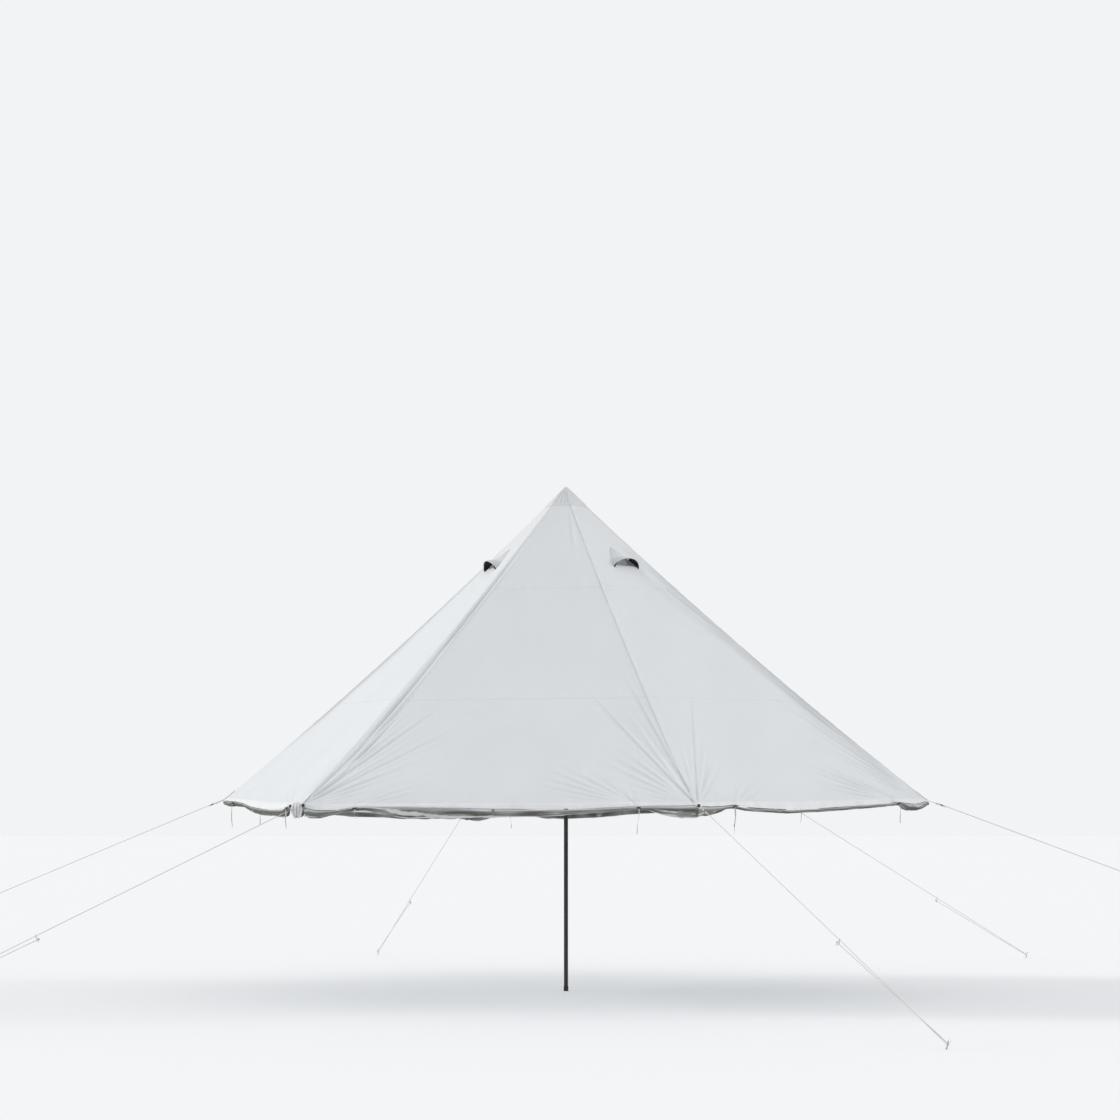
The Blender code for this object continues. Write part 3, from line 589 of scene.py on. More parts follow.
print("mesh helpers are ready")

# %% [markdown]
# ## Folds in the roof
#
# Pulled cloth wrinkles along the pull: folds fan out from every corner and tie, and run beside the ridges.
# A cloth simulation of a four metre panel would be slow and could not put the folds where the photograph has
# them, so each fold is a long, low wave that is added to a fine grid. Most folds are only 2 to 8 mm high:
# they show by their shading. Places are metres from the middle of the hem: to the right and up the slope.


# %% One fold, and small waves made from a few cosines
def fold(x, y, start, end, width, height, widening=2.0, rise=0.04):
    """A crest with soft valleys beside it, from start to end. It rises over the share rise of its length."""
    run = np.subtract(end, start)
    length = math.hypot(*run)
    ahead = run / length
    along = ((x - start[0]) * ahead[0] + (y - start[1]) * ahead[1]) / length
    aside = (y - start[1]) * ahead[0] - (x - start[0]) * ahead[1]
    aside = aside / (width * (1 + (widening - 1) * np.clip(along, 0, 1)))
    fade = smooth_step(along / rise) * smooth_step((1 - along) / 0.66)
    return height * fade * (1 - aside**2) * np.exp(-(aside**2) / 2)


def ripple(x, wavelength, seed):
    """An uneven wave between about -1 and 1."""
    chance = np.random.default_rng(seed)
    total = np.zeros_like(x, dtype=float)
    for stretch in (0.62, 1.0, 1.45, 2.1):
        total += np.cos(2 * np.pi * x / (wavelength * stretch) + chance.uniform(0, 2 * np.pi))
    return total / 2.6


def billow(x, y, wavelength, seed):
    """A broad, gentle unevenness between about -1 and 1."""
    chance = np.random.default_rng(seed)
    total = np.zeros(np.broadcast(x, y).shape)
    for _ in range(6):
        heading, phase = chance.uniform(0, np.pi), chance.uniform(0, 2 * np.pi)
        size = wavelength * chance.uniform(0.7, 1.6)
        total += np.cos(2 * np.pi * (x * np.cos(heading) + y * np.sin(heading)) / size + phase)
    return total / 4


sample = fold(np.array(0.3), np.array(0.0), (0, 0), (1, 0), 0.02, 3)
print("crest of a 3 mm fold:", round(float(sample), 2))

# %% The folds that the photograph shows
# Each fan has its folds as (angle from the hem in degrees, start, length, width of the crest, height). The
# start and the length are metres from the fan's point, and the width and the height are millimetres
CORNER_FAN_OF_FRONT_RIGHT = [
    (63.5, 0.03, 2.10, 12, -2.2), (59, 0.03, 1.60, 13, 2.4), (52, 0.03, 2.00, 12, -3),
    (46, 0.05, 1.10, 12, 2.4), (40.5, 0.04, 1.05, 12, 3.2), (34, 0.03, 1.20, 13, 3.4),
    (27, 0.05, 0.85, 11, 2.6), (20, 0.04, 0.65, 11, 2.1), (12, 0.04, 0.45, 10, 1.5),
]
CORNER_FAN_OF_FRONT_LEFT = [
    (62, 0.04, 1.85, 12, -2.8), (56, 0.04, 1.50, 11, 2.6), (51, 0.04, 1.80, 12, -2.8),
    (45, 0.04, 1.30, 12, 2.4), (39, 0.04, 1.75, 12, -2.2), (33, 0.04, 1.20, 12, 2.2),
    (27, 0.04, 0.95, 11, 2.5), (20, 0.04, 0.75, 11, 2.1), (13, 0.04, 0.55, 10, 1.5),
]
CORNER_FAN_OF_RIGHT = [
    (64, 0.05, 2.20, 13, 4.4), (60, 0.04, 1.65, 12, 4), (55, 0.04, 2.00, 14, 4.6),
    (49, 0.04, 1.50, 13, 3.8), (43, 0.04, 1.20, 12, 3.4), (37, 0.04, 1.30, 12, 3.4),
    (30, 0.04, 0.90, 11, 2.8), (22, 0.04, 0.60, 11, 2),
]
CORNER_FAN_BESIDE_FRONT_RIGHT = [
    (58, 0.04, 1.10, 12, 1.6), (50, 0.04, 2.05, 11, -2.6), (43, 0.04, 1.30, 12, 2.2),
    (35, 0.04, 0.95, 12, 2.4), (24, 0.04, 0.55, 11, 1.6),
]
CORNER_FAN_FAINT = [
    (59, 0.05, 1.20, 16, 1.8), (47, 0.05, 1.00, 16, 1.7), (33, 0.05, 0.80, 14, 1.6),
    (20, 0.05, 0.55, 12, 1.2),
]
TIE_FAN_STRONG = [
    (39, 0.02, 0.75, 11, 2.4), (31, 0.02, 1.05, 12, 3.4), (25, 0.02, 0.95, 11, 3.2),
    (19, 0.02, 1.10, 11, 3.1), (13, 0.02, 0.95, 10, 2.4), (8, 0.02, 0.70, 9, 1.6),
    (62, 0.02, 0.30, 11, 1.2),
]
TIE_FAN_OF_RIGHT = [
    (44, 0.02, 0.60, 11, 2.6), (33, 0.02, 1.00, 12, 4.2), (26, 0.02, 1.20, 12, 4.4),
    (20, 0.02, 1.00, 11, 4), (14, 0.02, 1.15, 11, 3.6), (8, 0.02, 0.80, 9, 2.2),
]
TIE_FAN_SOFT = [
    (34, 0.02, 0.50, 12, 1.6), (22, 0.02, 0.70, 12, 1.8), (12, 0.02, 0.55, 11, 1.4),
]
# Each side: its left corner's fan, its right corner's, its left tie's and its right tie's
FANS = {
    "front": (CORNER_FAN_OF_FRONT_LEFT, CORNER_FAN_OF_FRONT_RIGHT, TIE_FAN_SOFT, TIE_FAN_STRONG),
    "right_front": (CORNER_FAN_BESIDE_FRONT_RIGHT, CORNER_FAN_OF_RIGHT, TIE_FAN_SOFT, TIE_FAN_OF_RIGHT),
    "right_back": (CORNER_FAN_OF_RIGHT, CORNER_FAN_OF_FRONT_LEFT, TIE_FAN_SOFT, TIE_FAN_STRONG),
    "back": (CORNER_FAN_OF_FRONT_RIGHT, CORNER_FAN_BESIDE_FRONT_RIGHT, TIE_FAN_STRONG, TIE_FAN_SOFT),
    "left_back": (CORNER_FAN_OF_RIGHT, CORNER_FAN_OF_FRONT_RIGHT, TIE_FAN_STRONG, TIE_FAN_SOFT),
    "left_front": (CORNER_FAN_FAINT, CORNER_FAN_FAINT, TIE_FAN_SOFT, TIE_FAN_SOFT),
}
# Lines that are not part of a fan, as (start, end, width, height), the last two again in millimetres. A
# height below 0 is a valley
LONG_LINES = {
    "front": [
        ((-1.45, 0.34), (-0.95, 1.37), 14, -8), ((-1.40, 0.58), (-0.70, 2.30), 14, -13),
        ((-0.98, 1.62), (-0.17, 3.75), 14, -13), ((-1.34, 0.62), (-0.80, 1.95), 14, 3.8),
        ((0.08, 3.93), (0.27, 3.10), 20, -3)],
    "right_front": [
        ((0.19, 3.06), (0.84, 2.02), 26, -8), ((-0.19, 3.10), (-0.13, 3.48), 13, -4),
        ((1.36, 0.62), (0.78, 1.92), 20, 6), ((1.25, 0.80), (0.72, 1.70), 18, -5)],
    "left_front": [((-1.30, 0.75), (-0.60, 2.50), 20, -2.6)],
    "right_back": [
        ((-1.30, 0.70), (-0.45, 2.90), 22, -3.6), ((1.28, 0.85), (0.70, 2.20), 20, 2.8)],
    "back": [((-1.38, 0.60), (-0.50, 2.80), 22, -3.4), ((1.36, 0.70), (0.50, 2.80), 22, -3.2)],
    "left_back": [
        ((1.34, 0.70), (0.44, 2.95), 22, -4), ((-1.36, 0.60), (-0.80, 1.90), 20, 2.6)],
}
print("folds drawn by hand:", sum(len(fan) for fans in FANS.values() for fan in fans))

# %% [markdown]
# ## The roof panels
#
# Each side is made of three breadths of cloth, with a felled seam between them. The panels meet in a felled
# seam along each ridge, and a hem is turned under at the eave. The grid is finer beside the ridges, at the
# seams and near the hem, because that is where the cloth bends most.

# %% The panel grid
PANEL_TOP_SHARE = 0.003
SEAM_PLACES = (1.395, 2.875)
SEAM_WIDTH = 0.016
SEAM_HEIGHT = 0.0016
HEM_WIDTH = 0.028
HEM_THICKNESS = 0.0024
EDGE_COLUMNS = np.array([0, 0.006, 0.012, 0.0155, 0.020, 0.027, 0.036, 0.047, 0.060])
NARROW_WIDTH = 0.5
# The two sides with the most folds have more columns
MIDDLE_COLUMNS = {side: 288 if side in ("front", "right_front") else 170 for side in SIDES}
CROWDING = 0.58


def even(start, end, step):
    """Even distances from start up to, and without, end."""
    count = max(2, round((end - start) / step))
    return np.linspace(start, end, count, endpoint=False)


def seam_rows(place):
    return place + np.array([-0.030, -0.012, -0.003, 0.0, SEAM_WIDTH - 0.002, SEAM_WIDTH + 0.001, 0.034])


def panel_rows():
    """Distances down the slope and depths behind the outer face, ending in the hem that is turned under."""
    first, second = SEAM_PLACES
    parts = [even(PANEL_TOP_SHARE * SLANT, first - 0.05, 0.034), seam_rows(first)]
    parts += [even(first + 0.05, second - 0.05, 0.026), seam_rows(second)]
    parts += [even(second + 0.05, SLANT - 0.55, 0.0165), even(SLANT - 0.55, SLANT - 0.090, 0.0105)]
    parts += [even(SLANT - 0.090, SLANT - HEM_WIDTH - 0.004, 0.007)]
    parts += [SLANT - np.array([HEM_WIDTH + 0.002, HEM_WIDTH, HEM_WIDTH - 0.004, 0.018, 0.010, 0.0015, 0.0])]
    outside = np.concatenate(parts)
    under = SLANT - np.array([-0.0009, 0.0, 0.0015, 0.012, HEM_WIDTH])
    depths = np.array([0.5, 0.95, 1.0, 1.0, 1.0]) * HEM_THICKNESS
    return np.concatenate([outside, under]), np.concatenate([np.zeros(len(outside)), depths])


def panel_columns(widths, count):
    """Distances from the left ridge, one row of them for each width, crowded towards both ridges."""
    edges = EDGE_COLUMNS[None, :] * np.minimum(1.0, widths / NARROW_WIDTH)[:, None]
    steps = np.linspace(0, 1, count + 2)[1:-1]
    steps = steps - CROWDING * np.sin(2 * np.pi * steps) / (2 * np.pi)
    inner = edges[:, -1:] + (widths[:, None] - 2 * edges[:, -1:]) * steps
    return np.concatenate([edges, inner, widths[:, None] - edges[:, ::-1]], axis=1)


ROWS, DEPTHS = panel_rows()
print("panel grid:", len(ROWS), "rows by", MIDDLE_COLUMNS["front"] + 2 * len(EDGE_COLUMNS), "columns")

# %% The relief of one panel
VENT_SIDES = ("right_front", "right_back", "left_back", "left_front")
VENT_MOUTH_DISTANCE = 1.10
HOOD_LENGTH = 0.28
HEM_BEND = 0.75
HEM_TUCK = 0.10
FOLD_STRENGTH = 1.85
RIDGE_GROOVE_PLACE = 0.024
# The steepest slopes of the fine rays, in the same order as the fans
RAY_SLOPES = {
    "front": (0.24, 0.28, 0.08, 0.18), "right_front": (0.20, 0.28, 0.08, 0.17),
    "right_back": (0.24, 0.22, 0.08, 0.17), "back": (0.25, 0.20, 0.17, 0.08),
    "left_back": (0.22, 0.24, 0.15, 0.08), "left_front": (0.08, 0.07, 0.05, 0.05),
}
# The length and the wavelength, in radians, of the rays at corners and at ties
CORNER_RAYS, TIE_RAYS = (1.5, 0.062), (0.7, 0.04)
# Each strip beside a ridge: 1 for the right ridge or -1 for the left, the crest's places up the slope, their
# distances from the middle, and its height
RIDGE_FACETS = {
    "right_front": [(1, (1.95, 2.20, 2.40, 2.70, 3.07, 3.60), (0.86, 0.70, 0.53, 0.36, 0.19, 0.10), 0.026)],
    "left_back": [(-1, (1.30, 1.90, 2.60, 3.30), (1.10, 0.82, 0.52, 0.22), 0.014)],
    "back": [(1, (1.40, 2.00, 2.80, 3.40), (1.05, 0.78, 0.42, 0.18), 0.014)],
}
# The painted shade of the bands beside a side's left and right ridge, and how far from the ridge they reach
RIDGE_SHADES = {"front": (0.0, 0.05), "right_front": (0.0, 0.62), "left_front": (0.85, 0.08)}
RIDGE_SHADE_ELSEWHERE = (0.10, 0.10)
RIDGE_SHADE_WIDTHS = {"right_front": 0.19}
RIDGE_SHADE_WIDTH = 0.115
# Heights of the cloth's unevenness: broad, small, beside the seams, along the hem and along the ridges
BILLOW_HEIGHT, RUFFLE_HEIGHT, SEAM_PUCKER, HEM_WAVE, RIDGE_WAVE = 0.0026, 0.0006, 0.0011, 0.0018, 0.0015
GROOVE_DEPTH = 0.0060
# How much dirt lies on the hem, how much dirt and painted shade lie in the groove, and how much painted shade
# lies in the deep valleys and in the fans' folds
HEM_GRIME, GROOVE_DIRT_AND_SHADE, VALLEY_SHADE, FAN_SHADE = 0.03, 0.60, 0.90, 0.36
# Long lines that are lower than this many millimetres get painted shade in their valleys
DEEP_VALLEY = -6
HEM_PAINTED_LIGHT = 0.80
HALF_EAVE = EAVE_REACH / 2
TIE_OUT = HALF_EAVE - TIE_SHARE * EAVE_REACH
SIDE_SEEDS = {side: 11 * (k + 1) for k, side in enumerate(SIDES)}
CORNER_SEEDS = {corner: 5 * (k + 1) for k, corner in enumerate(CORNERS)}


def fan_folds(side, x, y):
    """The folds that fan out from a side's corners and ties."""
    total = np.zeros_like(x)
    for fan, origin, turn in zip(FANS[side], (-HALF_EAVE, HALF_EAVE, -TIE_OUT, TIE_OUT), (1, -1, 1, -1)):
        base = np.array([origin, 0.0])
        for angle, start, length, width, height in fan:
            step = np.array([turn * math.cos(math.radians(angle)), math.sin(math.radians(angle))])
            start_point, end_point = base + step * start, base + step * (start + length)
            total += fold(x, y, start_point, end_point, width / 1000, FOLD_STRENGTH * height / 1000)
    return total


def fan_rays(side, x, y):
    """Finer rays between the folds of each fan, which get shallower towards the fan's point."""
    total = np.zeros_like(x)
    places = [(-HALF_EAVE, 1, *CORNER_RAYS), (HALF_EAVE, -1, *CORNER_RAYS),
              (-TIE_OUT, 1, *TIE_RAYS), (TIE_OUT, -1, *TIE_RAYS)]
    for number, (origin, turn, length, wavelength) in enumerate(places):
        aside = turn * (x - origin)
        away, angle = np.hypot(aside, y), np.arctan2(y, aside)
        inside = smooth_step((angle - 0.02) / 0.12) * smooth_step((1.25 - angle) / 0.35)
        steep = RAY_SLOPES[side][number] * wavelength / (2 * np.pi)
        bent = angle + 0.02 * ripple(away, 0.5, number)
        rays = ripple(bent, wavelength * 1.6, SIDE_SEEDS[side] + 40 + number)
        total += steep * away * rays * inside * smooth_step((length - away) / length)
    return total


def panel_relief(side, x, y, from_left, from_right):
    """How far the cloth stands out from the plain panel, in metres."""
    seed = SIDE_SEEDS[side]
    relief = fan_folds(side, x, y) + fan_rays(side, x, y)
    for start, end, width, height in LONG_LINES[side]:
        relief += fold(x, y, start, end, width / 1000, height / 1000, widening=1.3, rise=0.35)
    relief += BILLOW_HEIGHT * billow(x, y, 1.1, seed) * smooth_step(y / 0.3)
    relief += RUFFLE_HEIGHT * billow(x, y, 0.22, seed + 1)
    for place in SEAM_PLACES:
        relief += SEAM_PUCKER * bell((SLANT - y - place) / 0.05) * ripple(x, 0.13, seed + 2)
    relief += HEM_WAVE * bell(y / 0.10) * ripple(x, 0.17, seed + 3)
    relief += ridge_facet(side, x, y)
    near_ridge = np.minimum(from_left, from_right)
    relief *= smooth_step(near_ridge / 0.014) * smooth_step((SLANT - y - 0.16) / 0.30)
    if side in VENT_SIDES:
        middle = SLANT - VENT_MOUTH_DISTANCE + HOOD_LENGTH * 0.4
        relief *= smooth_step((np.hypot(x, y - middle) - 0.19) / 0.10)
    under_cap = smooth_step((SLANT - y - 0.25) / 0.3)
    for corner, away in zip(SIDES[side], (from_left, from_right)):
        relief += RIDGE_WAVE * bell(away / 0.045) * ripple(y, 0.14, CORNER_SEEDS[corner]) * under_cap
    groove = bell((from_right - RIDGE_GROOVE_PLACE) / 0.010)
    relief -= GROOVE_DEPTH * groove * (0.7 + 0.3 * ripple(y, 0.5, seed + 5))
    return relief


def ridge_facet(side, x, y):
    """The stiff strip beside some ridges, which tilts away past a crest line."""
    total = np.zeros_like(x)
    for turn, crest_y, crest_x, height in RIDGE_FACETS.get(side, ()):
        crest = np.interp(y, crest_y, crest_x)
        half = HALF_EAVE * (1 - y / SLANT)
        past = turn * x - crest
        strip = np.clip(1 - past / np.maximum(half - crest, 0.03), 0, 1)
        inside = smooth_step((y - crest_y[0]) / 0.3) * smooth_step((crest_y[-1] - y) / 0.3)
        total += height * inside * np.where(past > 0, strip, bell(past / 0.09))
    return total


def panel_dirt_and_shade(side, x, y, from_left, from_right):
    """Dirt at the hem, dirt with painted shade in the groove, painted shade in the creases, and painted shade
    in bands beside the ridges.
    """
    seed = SIDE_SEEDS[side]
    dirt_and_shade = HEM_GRIME * np.exp(-np.maximum(y, 0) / 0.05) * (0.6 + 0.4 * ripple(x, 0.4, seed + 4))
    crease = bell((from_right - RIDGE_GROOVE_PLACE) / 0.007)
    dirt_and_shade += GROOVE_DIRT_AND_SHADE * crease * (0.75 + 0.25 * ripple(y, 0.3, seed + 6))
    for start, end, width, height in LONG_LINES[side]:
        if height < DEEP_VALLEY:
            valley = fold(x, y, start, end, width / 2000, 1.0, widening=1.2, rise=0.25)
            dirt_and_shade += VALLEY_SHADE * np.clip(valley, 0, 1)
    dirt_and_shade += FAN_SHADE * np.clip(-fan_folds(side, x, y) / 0.0035, 0, 1)
    tall = smooth_step((y - 0.5) / 0.8) * smooth_step((SLANT - 0.6 - y) / 0.8)
    wide = RIDGE_SHADE_WIDTHS.get(side, RIDGE_SHADE_WIDTH)
    for shade, away in zip(RIDGE_SHADES.get(side, RIDGE_SHADE_ELSEWHERE), (from_left, from_right)):
        dirt_and_shade += shade * np.exp(-((away / wide) ** 4)) * tall
    if side == "left_front":
        # A second, wider band of painted shade, fainter towards the cap
        streaks = 0.85 + 0.15 * ripple(y, 0.7, seed + 9)
        dirt_and_shade += 0.55 * np.exp(-((from_left / 0.24) ** 4)) * streaks * tall * smooth_step((2.9 - y) / 0.9)
    return np.clip(dirt_and_shade, 0, 1)


def seam_marks(y, from_left, from_right):
    """Where layers are sewn together, from 0 to 1."""
    band = np.zeros_like(y)
    for place in SEAM_PLACES:
        below = SLANT - y - place
        band = np.maximum(band, ((below > -0.001) & (below < SEAM_WIDTH - 0.001)) * 1.0)
    near_ridge = np.minimum(from_left, from_right)
    ridge_band = (near_ridge < 0.0135) * 0.4
    hem = (y < HEM_WIDTH - 0.001) * 0.2
    return np.maximum(np.maximum(band, ridge_band), hem)


print("vents on", VENT_SIDES)


# %% Make the six panels
def make_roof_panel(side):
    """One side of the roof as a fine sheet with its folds, seams and hem."""
    left, right = SIDES[side]
    shares = ROWS / SLANT
    left_ridge, right_ridge = ridge_points(left, shares), ridge_points(right, shares)
    widths = np.linalg.norm(right_ridge - left_ridge, axis=1)
    from_left = panel_columns(widths, MIDDLE_COLUMNS[side])
    from_right = widths[:, None] - from_left
    across = (from_left / widths[:, None])[..., None]
    points = left_ridge[:, None] + (right_ridge - left_ridge)[:, None] * across
    y = (SLANT - ROWS)[:, None] + np.zeros_like(from_left)
    x = from_left - widths[:, None] / 2
    outward = blended_outward(side, across, smooth_step(np.minimum(from_left, from_right) / 0.05)[..., None])
    layers = seam_marks(y, from_left, from_right)
    relief = panel_relief(side, x, y, from_left, from_right) + SEAM_HEIGHT * layers
    drop = hem_drop(side, across[..., 0])
    bent = np.clip(1 - y / (HEM_BEND * drop + 0.004), 0, 1.1) ** 1.25
    steep = smooth_step(bent / 0.4)[..., None]
    level = side_outward(side)
    hanging = outward * (1 - steep) + level * steep
    points = points + hanging * (relief - DEPTHS[:, None])[..., None]
    points = points - UP * (bent * drop)[..., None] - level * (HEM_TUCK * bent * drop)[..., None]
    # The cloth above the hem gives way a little too
    high = np.clip(1 - y / 0.5, 0, 1) ** 2 * (1 - np.clip(bent, 0, 1))
    points = points - UP * (0.22 * high * drop)[..., None]
    uv = np.stack([x, y], axis=-1)
    # A painted light along the doubled hem, a little uneven along it.
    painted_hem_light = HEM_PAINTED_LIGHT * smooth_step((0.048 - y) / 0.034)
    painted_hem_light = painted_hem_light * (0.85 + 0.15 * ripple(x, 0.3, SIDE_SEEDS[side] + 8))
    marks = {"layers": layers, "dirt_and_shade": panel_dirt_and_shade(side, x, y, from_left, from_right),
             "edge": np.minimum(from_left, from_right), "painted_hem_light": np.clip(painted_hem_light, 0, 1)}
    faces = quads(*from_left.shape)
    return add_piece(f"roof_sheet_{side}", points, faces, roof_cloth, uv, marks)


roof_sheets = {side: make_roof_panel(side) for side in SIDES}
print("roof sheets:", {side: triangle_count(sheet) for side, sheet in roof_sheets.items()})


# %% Stitches along the seams, the hem and the ridges
def add_stitches(material, rows, edge_places, thread_colour):
    """Sew stitches into a cloth: rows are heights on the panel, and edge_places are from its ridges."""
    tree = material.node_tree
    shader = tree.nodes["Principled BSDF"]
    cloth = shader.inputs["Base Color"].links[0].from_socket
    split = split_axes(tree, pattern_place(tree))
    edge = attribute_value(tree, "edge")
    lines = [(split["Y"], place, split["X"]) for place in rows]
    lines += [(edge, place, split["Y"]) for place in edge_places]
    total = 0.0
    for across, place, along in lines:
        across = math_node(tree, "SUBTRACT", across, place)
        total = math_node(tree, "MAXIMUM", group_node(tree, stitch_group, Across=across, Along=along), total)
    sewn = mix_colours(tree, math_node(tree, "MULTIPLY", total, 0.75), cloth, thread_colour)
    link(tree, sewn, shader.inputs["Base Color"])
    return len(lines)


seam_lines = [SLANT - place - step for place in SEAM_PLACES for step in (0.002, SEAM_WIDTH - 0.004)]
stitch_rows = add_stitches(roof_cloth, [*seam_lines, HEM_WIDTH - 0.004], (0.004, 0.011), (0.86, 0.87, 0.87))
print("rows of stitches:", stitch_rows)

# %% [markdown]
# ## The vents
#
# A hood like half a cone covers a hole near the top of four sides. Fine black netting closes the hole, and a
# black band stiffens the hood's mouth on the inside. The hole is cut with planes along its outline, which
# keeps the sheet's folds and pattern as they are.

# %% The vent's place and outline
HOOD_WIDTH = 0.350
HOOD_RISE = 0.092
HOOD_LEAN = 0.25
HOLE_INSET = 0.035
VENT_MARGIN = 0.08


def straight_roof_point(side, across, down):
    """A point of a roof side without its folds."""
    left, right = (ridge_points(corner, down) for corner in SIDES[side])
    return left + (right - left) * across


def vent_frame(side):
    """The middle of a vent's mouth, and the directions across, up the roof and out."""
    mouth = VENT_MOUTH_DISTANCE / SLANT
    below = (VENT_MOUTH_DISTANCE + VENT_MARGIN) / SLANT
    above = (VENT_MOUTH_DISTANCE - HOOD_LENGTH - VENT_MARGIN) / SLANT
    upward = unit(straight_roof_point(side, 0.5, above) - straight_roof_point(side, 0.5, below))
    across = unit(straight_roof_point(side, 1.0, mouth) - straight_roof_point(side, 0.0, mouth))
    return straight_roof_point(side, 0.5, mouth), across, upward, np.cross(across, upward)


def hood_half_width(along):
    """Half the hood's width at a share of its length from the mouth."""
    return HOOD_WIDTH / 2 * (1 - np.asarray(along) ** 1.4)


def vent_outline(side, inset, height):
    """The outline of the opening under a hood, pulled in by inset, at a height over the roof."""
    centre, across, upward, outward = vent_frame(side)
    steps = np.array([0.0, 0.15, 0.3, 0.45, 0.6, 0.72, 0.85])
    x = hood_half_width(steps) - inset * (1 - 0.5 * steps)
    y = inset + (HOOD_LENGTH - 2 * inset) * steps
    x, y = np.concatenate([x, -x[::-1]]), np.concatenate([y, y[::-1]])
    return centre + across * x[:, None] + upward * y[:, None] + outward * height


print("vent at", [round(float(c), 3) for c in vent_frame("right_front")[0]])


# %% Cut the holes in the four panels
def cut_opening(sheet, outline, outward):
    """Cut a convex opening out of a sheet with one plane along each edge of its outline."""
    bm = bmesh.new()
    bm.from_mesh(sheet.data)
    centre = Vector(outline.mean(axis=0))
    reach = 1.5 * max((Vector(p) - centre).length for p in outline)
    planes = []
    for first, second in zip(outline, np.roll(outline, -1, axis=0)):
        normal = Vector(np.cross(second - first, outward)).normalized()
        planes.append((Vector(first), normal))
        near = [f for f in bm.faces if (f.calc_center_median() - centre).length < reach]
        edges = {e for f in near for e in f.edges}
        verts = {v for f in near for v in f.verts}
        bmesh.ops.bisect_plane(bm, geom=near + list(edges) + list(verts), plane_co=first, plane_no=normal)
    near = [f for f in bm.faces if (f.calc_center_median() - centre).length < reach]
    inside = [f for f in near if all((f.calc_center_median() - p).dot(n) < 0 for p, n in planes)]
    bmesh.ops.delete(bm, geom=inside, context="FACES")
    bm.to_mesh(sheet.data)
    bm.free()
    return len(inside)


for side in VENT_SIDES:
    cut = cut_opening(roof_sheets[side], vent_outline(side, HOLE_INSET, 0.0), vent_frame(side)[3])
    print("hole in", side, "took", cut, "faces")

# %% [markdown]
# The hood is a shell of roof cloth, sewn down along its base. It is drawn as rings from the wide mouth to the
# narrow end. Its edge lies flat on the roof as a sewn flange, and its mouth has a hem. The black band inside
# the mouth is its own strip, because it is a stiffer tape. It shows past the hem at the mouth's corners only.

# %% Points on a hood, and the four hoods
FLANGE_WIDTH = 0.011
HOOD_END = 0.955


def hood_points(side, along, angle, inset):
    """Points on a hood's arch. along is 0 at the mouth and 1 at the point, and inset is inwards."""
    centre, across, upward, outward = vent_frame(side)
    along, angle = np.broadcast_arrays(np.asarray(along, float), np.asarray(angle, float))
    part = np.clip(along, 0, 1)
    half_width = np.maximum(hood_half_width(part), 0.012) - inset
    behind = smooth_step((part - 0.08) / 0.35)
    rise = np.maximum(HOOD_RISE * (1 - part) * (1 - 0.45 * behind), 0.008) - inset
    height = rise * np.sin(np.clip(angle, 0, np.pi)) ** (1 + 1.1 * behind)
    up_roof = HOOD_LENGTH * along + HOOD_LEAN * height * (1 - part)
    flat = across * (half_width * np.cos(angle))[..., None] + upward * up_roof[..., None]
    return centre + flat + outward * (height + 0.0012)[..., None]


def make_hood(side):
    """The white shell of a hood with its flange, its hem and a few soft creases."""
    _, across, _, outward = vent_frame(side)
    seed = 3 * SIDE_SEEDS[side]
    along = np.concatenate([[0, 0.012, 0.07, 0.078], np.linspace(0.11, HOOD_END, 34)])[:, None]
    angle = np.linspace(np.pi, 0, 49)[None, :]
    shell = hood_points(side, along, angle, 0.0)
    crease = 0.0022 * ripple(angle * 0.16 + along * 0.03, 0.06, seed) * np.sin(angle) ** 0.5
    crease = crease * smooth_step(along / 0.2) * smooth_step((1 - along) / 0.3)
    crease = crease + 0.0010 * (along < 0.074)
    shell += unit(outward)[None, None] * crease[..., None]
    left = shell[:, :1] - across * FLANGE_WIDTH - outward * 0.0002
    right = shell[:, -1:] + across * FLANGE_WIDTH - outward * 0.0002
    points = np.concatenate([left, shell, right], axis=1)
    rows, columns = points.shape[:2]
    x = np.linspace(-0.22, 0.22, columns)
    layers = np.zeros((rows, columns))
    layers[:4] = 1.0
    layers[:, :2] = layers[:, -2:] = 0.3
    uv = np.stack(np.broadcast_arrays(x[None, :], -along * HOOD_LENGTH), axis=-1)
    dirt_and_shade = np.clip(0.12 * smooth_step((along - 0.6) / 0.4) + 0 * angle, 0, 1)
    dirt_and_shade = np.concatenate([dirt_and_shade[:, :1], dirt_and_shade, dirt_and_shade[:, -1:]], axis=1)
    faces = quads(rows, columns)[:, ::-1]
    return add_piece(f"vent_hood_{side}_cloth", points, faces, roof_cloth,
                     uv, {"layers": layers, "dirt_and_shade": dirt_and_shade})


hoods = {side: dress(make_hood(side), [f"vent_hood_{side}"]) for side in VENT_SIDES}
print("hood:", triangle_count(hoods["right_front"]), "triangles")


# %% Materials of the black band and the netting
NET_PITCH = 0.0024
NET_THREAD_SHARE = 0.38


def plain_tape_material(name, colour, pitch, roughness=0.8):
    """Opaque tape whose threads show in its height, with a painted light on the raised threads and faint
    marks in its colour.
    """
    material, tree, shader = new_material(name)
    weave = group_node(tree, weave_group, Position=pattern_place(tree), Pitch=pitch)
    marks = math_node(tree, "MULTIPLY", weather_marks(tree, 0.12), 0.3)
    # Painted light: the raised threads are lighter, and the weather marks lighten the tape too
    shade = math_node(tree, "MULTIPLY_ADD", weave, 0.3, marks)
    tint = mix_colours(tree, shade, colour, tuple(min(1.0, c * 1.5 + 0.02) for c in colour))
    fill_inputs(tree, shader, {"Base Color": tint, "Normal": bump_normal(tree, weave, 0.5, 0.0004),
                               "Roughness": roughness, "Specular IOR Level": 0.3})
    return material


